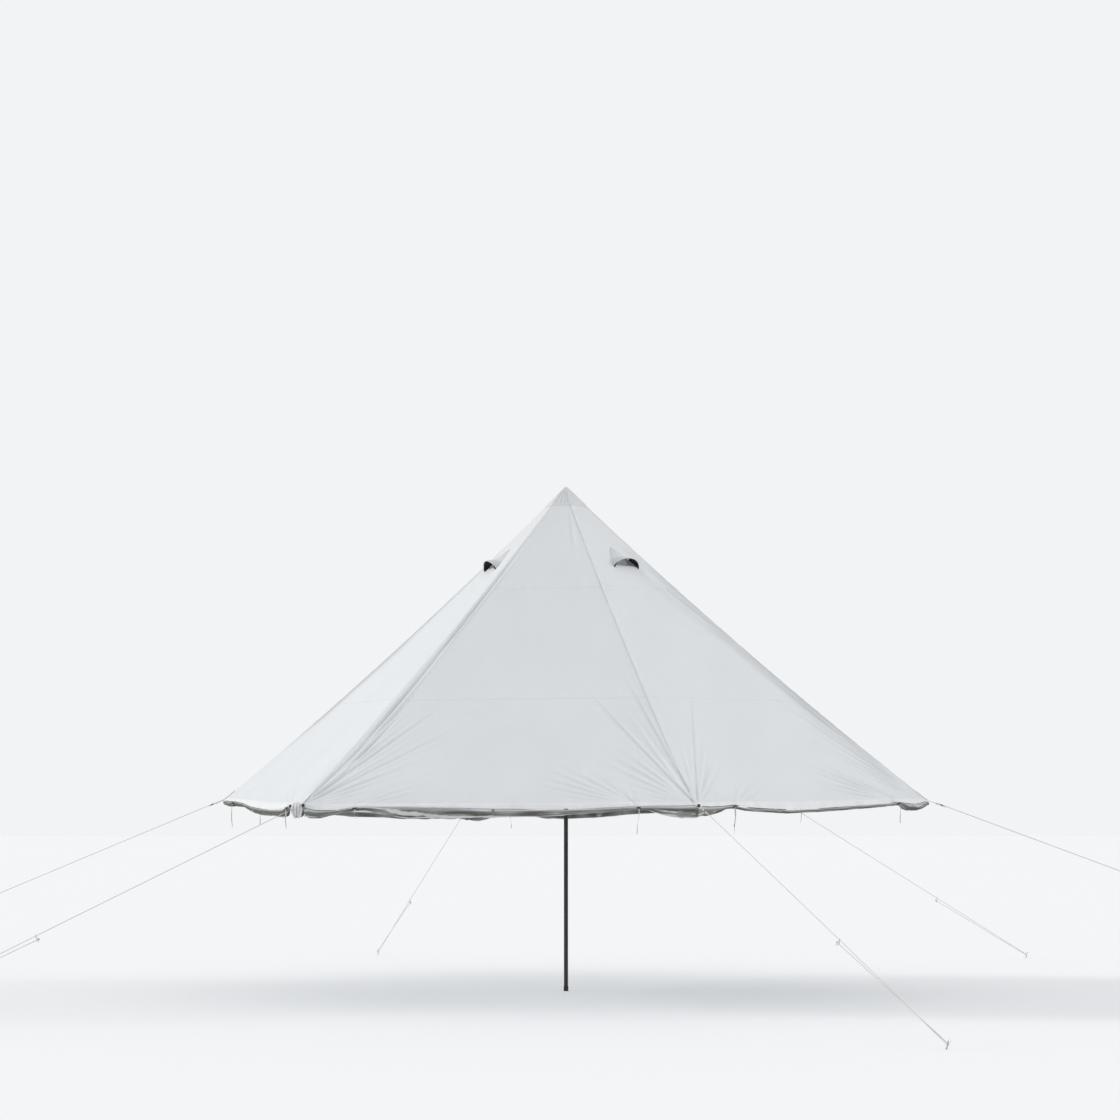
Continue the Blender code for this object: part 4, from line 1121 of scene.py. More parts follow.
def netting_material():
    """Fine black net: square holes between its threads."""
    material, tree, shader = new_material("black_netting")
    split = split_axes(tree, pattern_place(tree))
    threads = []
    for axis in ("X", "Y"):
        part = math_node(tree, "FRACT", math_node(tree, "DIVIDE", split[axis], NET_PITCH))
        threads.append(math_node(tree, "LESS_THAN", part, NET_THREAD_SHARE))
    tint = mix_colours(tree, threads[0], (0.13, 0.135, 0.14), (0.09, 0.093, 0.097))
    covered = math_node(tree, "MAXIMUM", *threads)
    fill_inputs(tree, shader, {"Base Color": tint, "Alpha": covered, "Roughness": 0.7})
    return material


black_tape = plain_tape_material("black_tape", (0.012, 0.012, 0.014), 0.0016)
black_netting = netting_material()
print("materials:", black_tape.name, black_netting.name)

# %% Make the bands and the nettings
# The band's edges as shares of the hood's length, how much deeper it is at the corners, and how much
# further in it lies at the top
BAND_START, BAND_END = -0.055, 0.075
BAND_DEEPENING = 0.30
BAND_LIFT = 0.085
BAND_INSET = 0.0035
BAND_ROWS, BAND_COLUMNS = 13, 65
NETTING_MARGIN = 0.015
NETTING_REACH = 0.86
NETTING_ROWS, NETTING_COLUMNS = 22, 25


def clean_mesh(piece, weld=False, fill=False, turn=False):
    """Join points that lie together, close open ends and turn the faces outwards, as asked."""
    bm = bmesh.new()
    bm.from_mesh(piece.data)
    if weld:
        bmesh.ops.remove_doubles(bm, verts=bm.verts, dist=1e-6)
    if fill:
        bmesh.ops.holes_fill(bm, edges=[e for e in bm.edges if e.is_boundary], sides=0)
    if turn:
        bmesh.ops.recalc_face_normals(bm, faces=bm.faces)
    bm.to_mesh(piece.data)
    bm.free()


def make_band(side):
    """The black tape inside the mouth: past the hem at both corners, and behind it at the top."""
    angle = np.linspace(np.pi, 0, BAND_COLUMNS)[None, :]
    steps = np.linspace(0, 1, BAND_ROWS)[:, None]
    rows = BAND_START + (BAND_END + BAND_DEEPENING * np.cos(angle) ** 2 - BAND_START) * steps
    rows = rows + BAND_LIFT * smooth_step(np.sin(angle) / 0.8)
    inset = BAND_INSET + 0.0040 * steps
    outer = hood_points(side, rows, angle, inset - 0.0022)
    inner = hood_points(side, rows, angle, inset + 0.0006)
    skin = np.concatenate([outer, inner[::-1]], axis=0)
    closed = np.concatenate([skin, skin[:1]], axis=0)
    n_rows, n_columns = closed.shape[:2]
    top = rows[:, BAND_COLUMNS // 2]
    along = np.concatenate([top, top[::-1], top[:1]]) * HOOD_LENGTH
    uv = grid_uv(n_rows, n_columns, along, np.linspace(0, 0.45, n_columns))
    faces = quads(n_rows, n_columns)
    band = add_piece(f"vent_band_{side}", closed, faces[:, ::-1], black_tape,
                     uv.reshape(-1, 4, 2)[:, ::-1])
    clean_mesh(band, weld=True, fill=True, turn=True)
    return dress(band)


def make_netting(side):
    """The netting sewn over the hole. It hangs a little into it."""
    centre, across, upward, outward = vent_frame(side)
    part = np.linspace(0, NETTING_REACH, NETTING_ROWS)[:, None]
    across_part = np.linspace(-1, 1, NETTING_COLUMNS)[None, :]
    inset = HOLE_INSET - NETTING_MARGIN
    half_width = hood_half_width(part) - inset * (1 - 0.5 * part)
    x = half_width * across_part
    y = inset + (HOOD_LENGTH - 2 * inset) * part + 0 * across_part
    hang = np.clip(1 - across_part**2, 0, 1) * np.sin(np.pi * np.clip(part / NETTING_REACH, 0, 1))
    depth = 0.0022 - 0.012 * smooth_step((hang - 0.25) / 0.75)
    points = centre + across * x[..., None] + upward * y[..., None] + outward * depth[..., None]
    uv = np.stack([x, y], axis=-1)
    faces = quads(NETTING_ROWS, NETTING_COLUMNS)[:, ::-1]
    return dress(add_piece(f"vent_netting_{side}", points, faces, black_netting, uv))


bands = {side: make_band(side) for side in VENT_SIDES}
nettings = {side: make_netting(side) for side in VENT_SIDES}
print("bands and nettings:", len(bands) + len(nettings))

# %% [markdown]
# ## The cap
#
# The cap is several layers of cloth sewn together over the pole's tip. It looks darker than the roof by a
# painted shade on its front and back facets, streaked along the fine upright folds that the pull of the pole
# puts in it. Its tip is blunt.

# %% Make the cap
CAP_LENGTH = 0.27
CAP_HEIGHT = 0.0046
CAP_COLUMNS = 30
# The fine folds round the cap, as (height, how many, phase), and the rings of its blunt tip
CAP_FOLDS = [(0.6, 17, 0.8), (0.7, 29, 2.1), (0.5, 43, 0.3), (0.5, 8, 1.0)]
CAP_FOLD_HEIGHT = 0.0024
CAP_TIP = [(0.0, 0.0062), (0.35, 0.0057), (0.65, 0.0042), (0.88, 0.0020)]


def make_cap():
    """A six-sided cap with fine folds that run down from its rounded tip."""
    distances = np.concatenate([np.linspace(0.0, 0.236, 30), [0.244, 0.250, 0.258, 0.266, CAP_LENGTH]])
    shares = distances / RIDGE_LENGTH
    rows = []
    for side in SIDES:
        left, right = SIDES[side]
        across = np.linspace(0, 1, CAP_COLUMNS, endpoint=False)[None, :, None]
        outward = blended_outward(side, across, smooth_step(np.minimum(across, 1 - across) / 0.28))
        left_ridge, right_ridge = ridge_points(left, shares)[:, None], ridge_points(right, shares)[:, None]
        height = CAP_HEIGHT * (1 - 0.55 * smooth_step((distances - 0.225) / 0.045))[:, None, None]
        rows.append(left_ridge + (right_ridge - left_ridge) * across + outward * height)
    body = np.concatenate(rows, axis=1)
    turn = np.linspace(0, 2 * np.pi, body.shape[1], endpoint=False)
    fine = sum(height * np.cos(count * turn + phase) for height, count, phase in CAP_FOLDS)
    level = body * np.array([1.0, 1.0, 0.0])
    level /= np.maximum(np.linalg.norm(level, axis=-1, keepdims=True), 1e-6)
    ending = smooth_step((CAP_LENGTH + 0.006 - distances) / 0.05)
    amount = CAP_FOLD_HEIGHT * smooth_step(distances / 0.09) * ending
    body += level * (amount[:, None] * fine[None, :])[..., None]
    tip = [body[0] * np.array([scale, scale, 1.0]) + UP * rise for scale, rise in CAP_TIP]
    under = body[-1] - level[-1] * 0.0006 - UP * 0.0008
    points = np.concatenate([np.array(tip), body, under[None]], axis=0)
    n_rows, n_columns = points.shape[:2]
    along = np.concatenate([[-0.02, -0.015, -0.01, -0.005], distances, [CAP_LENGTH + 0.002]])
    layers = np.zeros((n_rows, n_columns))
    # Painted shade on the front and back facets, streaked along the fine folds, and a darker band at the tip
    facet_shade = np.repeat([0.12 if side in ("front", "back") else 0.02 for side in SIDES], CAP_COLUMNS)
    ending = smooth_step((0.262 + 0.010 * np.cos(23 * turn)[None, :] - along[:, None]) / 0.03)
    dirt_and_shade = np.clip(0.12 - 3 * along, 0, 1)[:, None] + facet_shade * (1 + 0.90 * fine / 1.5) * ending
    dirt_and_shade = np.clip(dirt_and_shade, 0, 1)
    uv = grid_uv(n_rows, n_columns, -along, np.linspace(0, 1.3, n_columns + 1), wrap=True)
    cap = add_piece("apex_cap_cloth", points, quads(n_rows, n_columns, wrap=True),
                    cap_cloth, uv, {"layers": layers, "dirt_and_shade": dirt_and_shade})
    clean_mesh(cap, weld=True)
    return cap


cap = dress(make_cap(), ["apex_cap"])
print("cap:", triangle_count(cap), "triangles")

# %% [markdown]
# ## The rolled walls
#
# Each wall is rolled up to the eave and tied near both corners. Between the ties it sags as an uneven
# sausage with folds that wander along it, and at the ties it is drawn together into pleats. The roll is a
# closed form: rings along the eave, pushed in and out by the folds.

# %% The roll's size and place
ROLL_WIDTH, ROLL_WIDTH_TIE = 0.076, 0.050
ROLL_HEIGHT, ROLL_HEIGHT_TIE = 0.095, 0.024
ROLL_INSET = 0.010
ROLL_TUCK = 0.022
ROLL_SQUARENESS = 2.6
ROLL_UNDER_HEM = 0.0045
ROLL_SET_BACK = 0.30
# How much painted shade darkens each roll all over; the left front roll takes more
ROLL_PAINTED_SHADE, ROLL_PAINTED_SHADE_ELSEWHERE = {"left_front": 0.42}, 0.20
ROLL_GIRTH = 0.26
ROLL_AROUND = 64
ROLL_STATIONS = 276
GATHER_CORNER = "front_left"
GATHER_WIDTH = 0.085


def rightward(side):
    return np.cross(UP, side_outward(side))


def roll_size(side, share):
    """The roll's width and height at shares of the side, and how full it is from 0 to 1."""
    height = np.maximum(ROLL_HEIGHT * np.interp(share, FINE_SHARES, ROLL_HEIGHTS[side]), ROLL_HEIGHT_TIE)
    swell = (height - ROLL_HEIGHT_TIE) / (ROLL_HEIGHT - ROLL_HEIGHT_TIE)
    return ROLL_WIDTH_TIE + (ROLL_WIDTH - ROLL_WIDTH_TIE) * swell, height, swell


def under_eave(side, share, out, up):
    """A point by the hem: out from it and up from its underside, at shares of the side."""
    left, right = SIDES[side]
    share, out, up = (np.asarray(v, float)[..., None] for v in np.broadcast_arrays(share, out, up))
    drop = hem_drop(side, share)
    hem = EAVES[left] + (EAVES[right] - EAVES[left]) * share
    hem = hem - UP * drop - side_outward(side) * (ROLL_SET_BACK * drop) - face_outward(side) * 0.003
    sideways = (2 * share - 1) * math.tan(math.radians(30)) * out
    return hem + side_outward(side) * out + rightward(side) * sideways + UP * (up - 0.001)


def roll_section(angle):
    """A rounded square of size 2, from the angle: 0 is outwards and a quarter turn is up."""
    x, y = np.cos(angle), np.sin(angle)
    power = 2 / ROLL_SQUARENESS
    return np.sign(x) * np.abs(x) ** power, np.sign(y) * np.abs(y) ** power


print("front roll at its middle:", [round(float(v), 3) for v in roll_size("front", 0.5)])


# %% The folds of a roll
ROLL_FOLDS = 7
PLEAT_HEIGHT, TIE_DENT = 0.0022, 0.0030


def around(difference):
    """The smallest turn that a difference of angles stands for."""
    return (difference + np.pi) % (2 * np.pi) - np.pi


def diagonal_line(share):
    """The angle of the large fold that runs from under the hem at the left tie to the roll's underside."""
    return np.interp(share, [TIE_SHARE, 0.171, 0.203, 0.239, 0.31, 0.408, 0.498, 0.60],
                     [1.45, 1.10, 0.55, 0.10, -0.15, -0.55, -0.95, -1.35])


def from_tie(share):
    """The distance in metres along the side to the nearer tie."""
    return np.minimum(np.abs(share - TIE_SHARE), np.abs(1 - share - TIE_SHARE)) * EAVE_REACH


def roll_relief(side, share, angle):
    """How far the roll's surface stands out from its plain section, in metres."""
    seed = 7 * SIDE_SEEDS[side]
    chance = np.random.default_rng(seed)
    along = share * EAVE_REACH
    swell = roll_size(side, share)[2]
    relief = np.zeros(np.broadcast(share, angle).shape)
    for k in range(ROLL_FOLDS):
        start, drift = chance.uniform(-1.4, 1.2), chance.uniform(-1.0, 1.0)
        width, height = chance.uniform(0.14, 0.26), chance.uniform(0.003, 0.006)
        line = start + drift * (2 * share - 1) + 0.30 * ripple(along, 0.9, seed + k)
        off = around(angle - line) / width
        relief = relief + height * (1 - off**2) * np.exp(-(off**2) / 2)
    down = np.clip((share - TIE_SHARE) / 0.36, -0.2, 1.3)
    off = around(angle - diagonal_line(share)) / 0.36
    edge = 0.011 if side in ("front", "back") else 0.006
    relief += edge * (1 - 0.6 * off**2) * np.exp(-(off**2) / 2) * smooth_step((down + 0.1) / 0.2)
    near = from_tie(share)
    pleats = np.cos(11 * angle + 2.0 * ripple(along, 0.11, seed + 8)) + 0.6 * np.cos(17 * angle + 1.3)
    corner = bell(np.minimum(share, 1 - share) * EAVE_REACH / 0.30)
    relief += PLEAT_HEIGHT * pleats * np.maximum(bell(near / 0.085), corner)
    relief += 0.0016 * ripple(along + 0.035 * angle, 0.075, seed + 9)
    relief += (0.0015 + 0.0030 * corner) * ripple(along - 0.06 * angle, 0.13, seed + 12)
    relief += 0.0030 * ripple(along + 0.05 * np.sin(angle), 0.31, seed + 10)
    return relief * (0.30 + 0.70 * swell) - TIE_DENT * bell(near / 0.014)


def roll_stations(start, end):
    """Shares of the side from start to end, closer together beside the ties."""
    even_steps = np.linspace(start, end, 1500)
    weight = np.cumsum(1 + 2.2 * bell(from_tie(even_steps) / 0.09))
    weight = (weight - weight[0]) / (weight[-1] - weight[0])
    return np.interp(np.linspace(0, 1, ROLL_STATIONS), weight, even_steps)


def roll_painted_shade(side, share, angle, relief):
    """Painted shade on a roll, uneven along it: most below and in its hollows, and on two sides in the wedge
    under the large fold.
    """
    below = smooth_step((0.90 - np.sin(angle)) / 0.80)
    unevenness = 0.75 + 0.35 * billow(share * EAVE_REACH, angle * 0.04, 0.35, SIDE_SEEDS[side] + 20)
    raised = smooth_step((relief - 0.001) / 0.006)
    dirt_and_shade = (ROLL_PAINTED_SHADE.get(side, ROLL_PAINTED_SHADE_ELSEWHERE) + 0.76 * below * unevenness) * (1.15 - 0.95 * raised)
    if side in ("front", "back"):
        wedge = smooth_step((angle - diagonal_line(share) - 0.30) / 0.3) * smooth_step((1.5 - angle) / 0.2)
        reach = smooth_step((share - TIE_SHARE - 0.01) / 0.04)
        dirt_and_shade = np.maximum(dirt_and_shade, 0.62 * wedge * reach * smooth_step((0.52 - share) / 0.14))
    return np.clip(dirt_and_shade, 0, 1)


def roll_end(ring, push, angle):
    """The rings that close a roll's end. They rise and fall as the spiral of its layers."""
    middle = ring.mean(axis=0)
    rings = []
    for scale in (0.93, 0.84, 0.74, 0.63, 0.52, 0.40, 0.28, 0.14, 0.02):
        spiral = 0.0022 * np.cos(2 * np.pi * 4.2 * scale + angle) - 0.005 * (1 - scale)
        rings.append(middle + (ring - middle) * scale + push * spiral[:, None] * (scale < 0.9))
    return rings


def make_roll(side):
    """One rolled-up wall, closed at its ends with the spiral of its layers."""
    trims = [(GATHER_WIDTH / 2 + 0.010 if corner == GATHER_CORNER else 0.002) / EAVE_REACH
             for corner in SIDES[side]]
    share = roll_stations(trims[0], 1 - trims[1])[:, None]
    angle = np.linspace(0, 2 * np.pi, ROLL_AROUND, endpoint=False)[None, :]
    width, height, swell = roll_size(side, share)
    x, y = roll_section(angle)
    relief = roll_relief(side, share, angle) * smooth_step((0.85 - np.sin(angle)) / 0.35)
    length = np.hypot(x, y)
    half_x, half_y = width / 2 + relief * np.abs(x) / length, height / 2 + relief * np.abs(y) / length
    hollow = 0.007 * swell * bell(around(angle - 0.35) / 0.45)
    out = x * half_x - ROLL_INSET - ROLL_TUCK * height / ROLL_HEIGHT * (1 - y) / 2 - hollow
    up = y * half_y - height / 2 - ROLL_UNDER_HEM
    sag = 0.002 * ripple(share * EAVE_REACH, 0.40, 7 * SIDE_SEEDS[side] + 11)
    up = up + sag * (1 - y) / 2 * swell
    body = under_eave(side, share, out, up)
    left_end = roll_end(body[0], -rightward(side), angle[0])
    right_end = roll_end(body[-1], rightward(side), angle[0])
    points = np.concatenate([np.array(left_end[::-1]), body, np.array(right_end)], axis=0)
    n_rows, n_ends = len(points), len(left_end)
    metres = share[:, 0] * EAVE_REACH
    along = np.concatenate([metres[0] - 0.005 * np.arange(n_ends, 0, -1), metres,
                            metres[-1] + 0.005 * np.arange(1, n_ends + 1)])
    dirt_and_shade = roll_painted_shade(side, share, angle, relief)
    dirt_and_shade = np.concatenate([np.repeat(dirt_and_shade[:1], n_ends, 0), dirt_and_shade, np.repeat(dirt_and_shade[-1:], n_ends, 0)])
    uv = grid_uv(n_rows, ROLL_AROUND, along, np.linspace(0, ROLL_GIRTH, ROLL_AROUND + 1), wrap=True)
    marks = {"layers": np.full((n_rows, ROLL_AROUND), 0.4), "dirt_and_shade": dirt_and_shade}
    faces = tube_faces(n_rows, ROLL_AROUND)
    return add_piece(f"wall_roll_{side}_cloth", points, faces, wall_cloth, uv, marks)


rolls = {side: dress(make_roll(side), [f"wall_roll_{side}"]) for side in SIDES}
print("rolls:", triangle_count(rolls["front"]), "triangles each")

# %% [markdown]
# ## Straps and toggles
#
# A narrow tape goes round each roll at its tie, and a black toggle buttons it. The tape's free end hangs
# down. Tapes are drawn along paths. The toggles are one cylinder, shaped once and copied.


# %% A helper for tapes, and the webbing material
def tape(name, centres, outward, width, thickness, material, closed=False):
    """A band with rounded edges along a path. outward is the way that its flat face looks."""
    centres = np.asarray(centres, float)
    outward = np.broadcast_to(np.asarray(outward, float), centres.shape)
    if closed:
        ahead = np.roll(centres, -1, axis=0) - np.roll(centres, 1, axis=0)
    else:
        ahead = np.gradient(centres, axis=0)
    ahead = unit_rows(ahead)
    sideways = unit_rows(np.cross(outward, ahead))
    face = np.cross(ahead, sideways)
    u = np.array([-0.5, -0.47, -0.3, 0.0, 0.3, 0.47, 0.5])
    v = np.array([0.0, 0.42, 0.5, 0.5, 0.5, 0.42, 0.0])
    u, v = np.concatenate([u, u[-2:0:-1]]), np.concatenate([v, -v[-2:0:-1]])
    points = centres[:, None] + sideways[:, None] * (u * width)[None, :, None]
    points = points + face[:, None] * (v * thickness)[None, :, None]
    if closed:
        points = np.concatenate([points, points[:1]])
    rows, columns = points.shape[:2]
    uv = grid_uv(rows, columns, distances_along(points.mean(axis=1)), np.append(u, u[0]) * width, wrap=True)
    faces = quads(rows, columns, wrap=True) if closed else tube_faces(rows, columns)
    piece = add_piece(name, points, faces, material, uv)
    if closed:
        clean_mesh(piece, weld=True, fill=True, turn=True)
    return piece


webbing_tape = plain_tape_material("grey_webbing_tape", (0.16, 0.165, 0.17), 0.0018, 0.85)
white_webbing = plain_tape_material("white_webbing_tape", (0.60, 0.615, 0.625), 0.0018, 0.85)
pale_tape = plain_tape_material("pale_tie_tape", (0.42, 0.425, 0.42), 0.0012, 0.85)
STRAP_THICKNESS, STRAP_STANDOFF = 0.0018, 0.0012
MIDDLE_STRAP_SHARE = 0.494
END_WIDTH, END_THICKNESS = 0.008, 0.0013
# The hanging ends' lengths and sideways sway, taken in turn
END_LENGTHS, END_SWAYS = (0.085, 0.215, 0.235, 0.180), (0.012, -0.016, 0.008)


def tie_loop(side, share, index):
    """The tape round a roll at one of its ties."""
    x, y = roll_section(np.linspace(0, 2 * np.pi, 60, endpoint=False))
    width, height, _ = (float(size) for size in roll_size(side, share))
    lean = ROLL_TUCK * height / ROLL_HEIGHT * (1 - y) / 2
    out = x * (width / 2 + STRAP_STANDOFF) - ROLL_INSET - lean
    up = np.minimum(y * (height / 2 + STRAP_STANDOFF) - height / 2 - ROLL_UNDER_HEM, -0.002)
    centres = under_eave(side, share, out, up)
    outward = centres - centres.mean(axis=0)
    name = f"tie_loop_{side}_{index}"
    return tape(name, centres, outward, STRAP_WIDTH, STRAP_THICKNESS, webbing_tape, closed=True)


def tie_end(side, share, index, length, sway):
    """The loose end of a narrow tie tape, which hangs from the toggle with a slow twist."""
    width, _, _ = roll_size(side, share)
    steps = np.linspace(0, 1, 40)
    out = float(width) / 2 - ROLL_INSET + 0.006 + 0.006 * np.sin(np.pi * steps) - 0.004 * steps
    up = -0.010 - length * steps
    places = under_eave(side, share + 0 * steps, out, up)
    bow = sway * steps**1.5 + 0.004 * np.sin(2.2 * np.pi * steps)
    places = places + rightward(side) * bow[:, None]
    twist = 2.6 * steps * np.sign(sway)
    outward = side_outward(side) * np.cos(twist)[:, None] + rightward(side) * np.sin(twist)[:, None]
    return tape(f"tie_end_{side}_{index}", places, outward, END_WIDTH, END_THICKNESS, pale_tape)


tie_pieces = []
for number, side in enumerate(SIDES):
    for index, share in enumerate((TIE_SHARE, 1 - TIE_SHARE)):
        length = END_LENGTHS[(2 * number + index) % len(END_LENGTHS)]
        sway = END_SWAYS[(number + index) % len(END_SWAYS)]
        tie_pieces.append(dress(tie_loop(side, share, index)))
        tie_pieces.append(dress(tie_end(side, share, index, length, sway)))
for side in ("front", "back"):
    tie_pieces.append(dress(tie_loop(side, MIDDLE_STRAP_SHARE, "middle")))
print("tie tapes:", len(tie_pieces))


# %% Helpers for modelled pieces
def select_only(piece):
    bpy.ops.object.select_all(action="DESELECT")
    piece.select_set(True)
    bpy.context.view_layer.objects.active = piece


def apply_modifier(piece, kind, **settings):
    """Add a modifier with its settings and apply it."""
    select_only(piece)
    modifier = piece.modifiers.new("shaping", kind)
    for name, value in settings.items():
        setattr(modifier, name, value)
    bpy.ops.object.modifier_apply(modifier=modifier.name)


def take_primitive(name):
    """The primitive that was just added, under its own name."""
    piece = bpy.context.active_object
    piece.name = name
    return piece


def finish_surface(piece, material, angle=None):
    """Smooth a piece, all over or up to an angle in degrees, and give it its only material."""
    select_only(piece)
    if angle is None:
        bpy.ops.object.shade_smooth()
    else:
        bpy.ops.object.shade_smooth_by_angle(angle=math.radians(angle))
    piece.data.materials.clear()
    piece.data.materials.append(material)


def axes_matrix(x_axis, y_axis, z_axis, origin):
    """The matrix that takes a piece made at the origin to its place."""
    matrix = Matrix.Identity(4)
    for column, axis in enumerate((x_axis, y_axis, z_axis, origin)):
        for row in range(3):
            matrix[row][column] = float(axis[row])
    return matrix


def placed_copy(template, name, *axes):
    """A copy of a template with its own mesh, turned to three axes and moved to a place in the mesh."""
    piece = template.copy()
    piece.data = template.data.copy()
    piece.name = name
    piece.data.transform(axes_matrix(*axes))
    show(piece)
    return piece


def hard_material(name, colour, second, roughness, metallic=0.0, size=0.05, bump_height=0.0002):
    """A solid material with cloudy colour and a fine grain."""
    material, tree, shader = new_material(name)
    noise = add_node(tree, "ShaderNodeTexNoise")
    fill_inputs(tree, noise, {"Vector": object_place(tree), "Scale": 12.0 / size, "Detail": 4.0})
    grain = noise.outputs["Fac"]
    fill_inputs(tree, shader, {
        "Base Color": mix_colours(tree, weather_marks(tree, size), colour, second),
        "Roughness": math_node(tree, "MULTIPLY_ADD", grain, 0.25, roughness - 0.12),
        "Normal": bump_normal(tree, grain, 0.4, bump_height), "Metallic": metallic})
    return material


toggle_plastic = hard_material("black_toggle_plastic", (0.010, 0.010, 0.011), (0.022, 0.022, 0.023), 0.45)
print("modelling helpers are ready, and", toggle_plastic.name)

# %% Toggles, made once from a cylinder
TOGGLE_RADIUS, TOGGLE_LENGTH = 0.0062, 0.034
TOGGLE_WAIST = 0.32
# Each knob at a corner: out, aside and up from it. A knob is a toggle this much thicker and shorter
CORNER_KNOBS = [("front_right", 0.045, -0.005, -0.007), ("front_left", -0.007, 0.034, 0.008),
                ("front_left", -0.148, -0.282, 0.005)]
KNOB_THICKER, KNOB_SHORTER = 2.0, 0.74

bpy.ops.object.select_all(action="DESELECT")
bpy.ops.mesh.primitive_cylinder_add(vertices=24, radius=TOGGLE_RADIUS, depth=TOGGLE_LENGTH)
toggle = take_primitive("toggle_template")
apply_modifier(toggle, "BEVEL", width=0.004, segments=5, limit_method="ANGLE")
for vertex in toggle.data.vertices:
    waist = 1 - TOGGLE_WAIST * math.exp(-((vertex.co.z / 0.005) ** 2))
    vertex.co.x *= waist
    vertex.co.y *= waist
finish_surface(toggle, toggle_plastic, 50)
toggles = []
for side in SIDES:
    for index, share in enumerate((TIE_SHARE, 1 - TIE_SHARE)):
        width, _, _ = roll_size(side, share)
        place = under_eave(side, share, float(width) / 2 - ROLL_INSET + TOGGLE_RADIUS + 0.002, -0.012)
        name = f"toggle_{side}_{index}"
        copy = placed_copy(toggle, name, side_outward(side), -UP, rightward(side), place)
        toggles.append(dress(copy))
for number, (corner, out, aside, up) in enumerate(CORNER_KNOBS):
    outward = direction(CORNER_AZIMUTHS[corner])
    sideways = np.cross(UP, outward)
    place = EAVES[corner] + outward * out + sideways * aside + UP * up
    thick = (sideways * KNOB_THICKER, outward * KNOB_THICKER, UP * KNOB_SHORTER)
    toggles.append(dress(placed_copy(toggle, f"corner_knob_{number}", *thick, place)))
bpy.data.objects.remove(toggle)
print("toggles:", len(toggles))

# %% [markdown]
# ## The gathered wall
#
# At the front left corner a bunch of wall cloth hangs from its tie. It is drawn as a skirt of deep pleats:
# tight at the top, full in the middle and gathered again below.

# %% Make the gathered bunch
GATHER_DROP = 0.122
GATHER_FULLNESS = 1.32
GATHER_ROWS, GATHER_COLUMNS = 40, 220


def make_gather():
    """A pleated skirt of cloth that hangs under the roof's corner."""
    corner = GATHER_CORNER
    outward = direction(CORNER_AZIMUTHS[corner])
    sideways = np.cross(UP, outward)
    top = EAVES[corner] + outward * 0.012 - sideways * 0.028 + UP * 0.032
    level = np.linspace(0, 1, GATHER_ROWS)[:, None]
    turn = np.linspace(0, 2 * np.pi, GATHER_COLUMNS, endpoint=False)[None, :]
    swell = np.interp(level[:, 0], [0, 0.2, 0.5, 0.8, 1.0], [0.55, 0.95, 1.0, 0.70, 0.42])[:, None]
    phase = 0.5 * np.sin(2.2 * level + 0.4)
    pleats = 0.30 * np.cos(9 * turn + phase * 3) + 0.14 * np.cos(5 * turn + 1 + 2 * level)
    pleats = pleats + 0.07 * np.cos(19 * turn - 2 * level)
    radius = GATHER_FULLNESS * GATHER_WIDTH / 2 * swell * (0.74 + pleats * (0.35 + 0.65 * level))
    radius = np.maximum(radius, 0.004)
    drop = GATHER_DROP * (level + 0.10 * level * np.cos(3 * turn + 0.5))
    points = top + outward * (radius * np.cos(turn))[..., None]
    points = points + sideways * (radius * np.sin(turn))[..., None]
    points = points - UP * drop[..., None]
    grid = (GATHER_ROWS, GATHER_COLUMNS)
    uv = grid_uv(*grid, -level[:, 0] * GATHER_DROP, np.linspace(0, 0.6, GATHER_COLUMNS + 1), wrap=True)
    marks = {"layers": np.zeros(grid), "dirt_and_shade": 0.07 * np.broadcast_to(level, grid)}
    faces = quads(*grid, wrap=True)
    return add_piece("wall_gather_cloth", points, faces, wall_cloth, uv, marks)


gather = dress(make_gather(), ["wall_gather"])
print("gather:", triangle_count(gather), "triangles")

# %% [markdown]
# ## Tabs and rings
#
# A webbing tab is sewn over the end of each ridge, and carries a wire ring for the rope. The tape runs down
# the ridge, bends towards the peg, goes round the ring's bar and comes back underneath.

# %% The rope's line at each corner
# Each peg's distance from the pole, and its swing in degrees from the corner's direction
PEG_PLACES = {"front_right": (6.91, 4.0), "right": (8.06, 0.0), "back_right": (8.35, 0.3),
              "back_left": (7.39, -0.3), "left": (7.87, 0.4), "front_left": (7.82, -0.6)}
PEG_NECK_HEIGHT = 0.035
TAB_LENGTH_ON_RIDGE, TAB_LENGTH_FREE = 0.14, 0.050
TAB_WIDTH, TAB_THICKNESS = 0.025, 0.003
RING_WIRE_RADIUS, RING_BEND_RADIUS, RING_LENGTH = 0.0025, 0.006, 0.034
ROPE_RADIUS = 0.003
CLEARANCE = 0.0003


def peg_place(corner):
    reach, swing = PEG_PLACES[corner]
    return direction(CORNER_AZIMUTHS[corner] + swing) * reach + UP * PEG_NECK_HEIGHT


def tab_bend(corner):
    return EAVES[corner] + ridge_outward(corner) * (CLEARANCE + TAB_THICKNESS / 2)


def rope_frame(corner):
    """The directions along the rope to its peg, sideways, and upwards at right angles to both."""
    along = unit(peg_place(corner) - tab_bend(corner))
    sideways = unit(np.cross(along, UP))
    return along, sideways, np.cross(sideways, along)


def ring_bar(corner):
    """The middle of the ring's far bar, where the rope turns round it."""
    return tab_bend(corner) + rope_frame(corner)[0] * (TAB_LENGTH_FREE + RING_LENGTH)


def rope_length(corner):
    return np.linalg.norm(peg_place(corner) - ring_bar(corner))


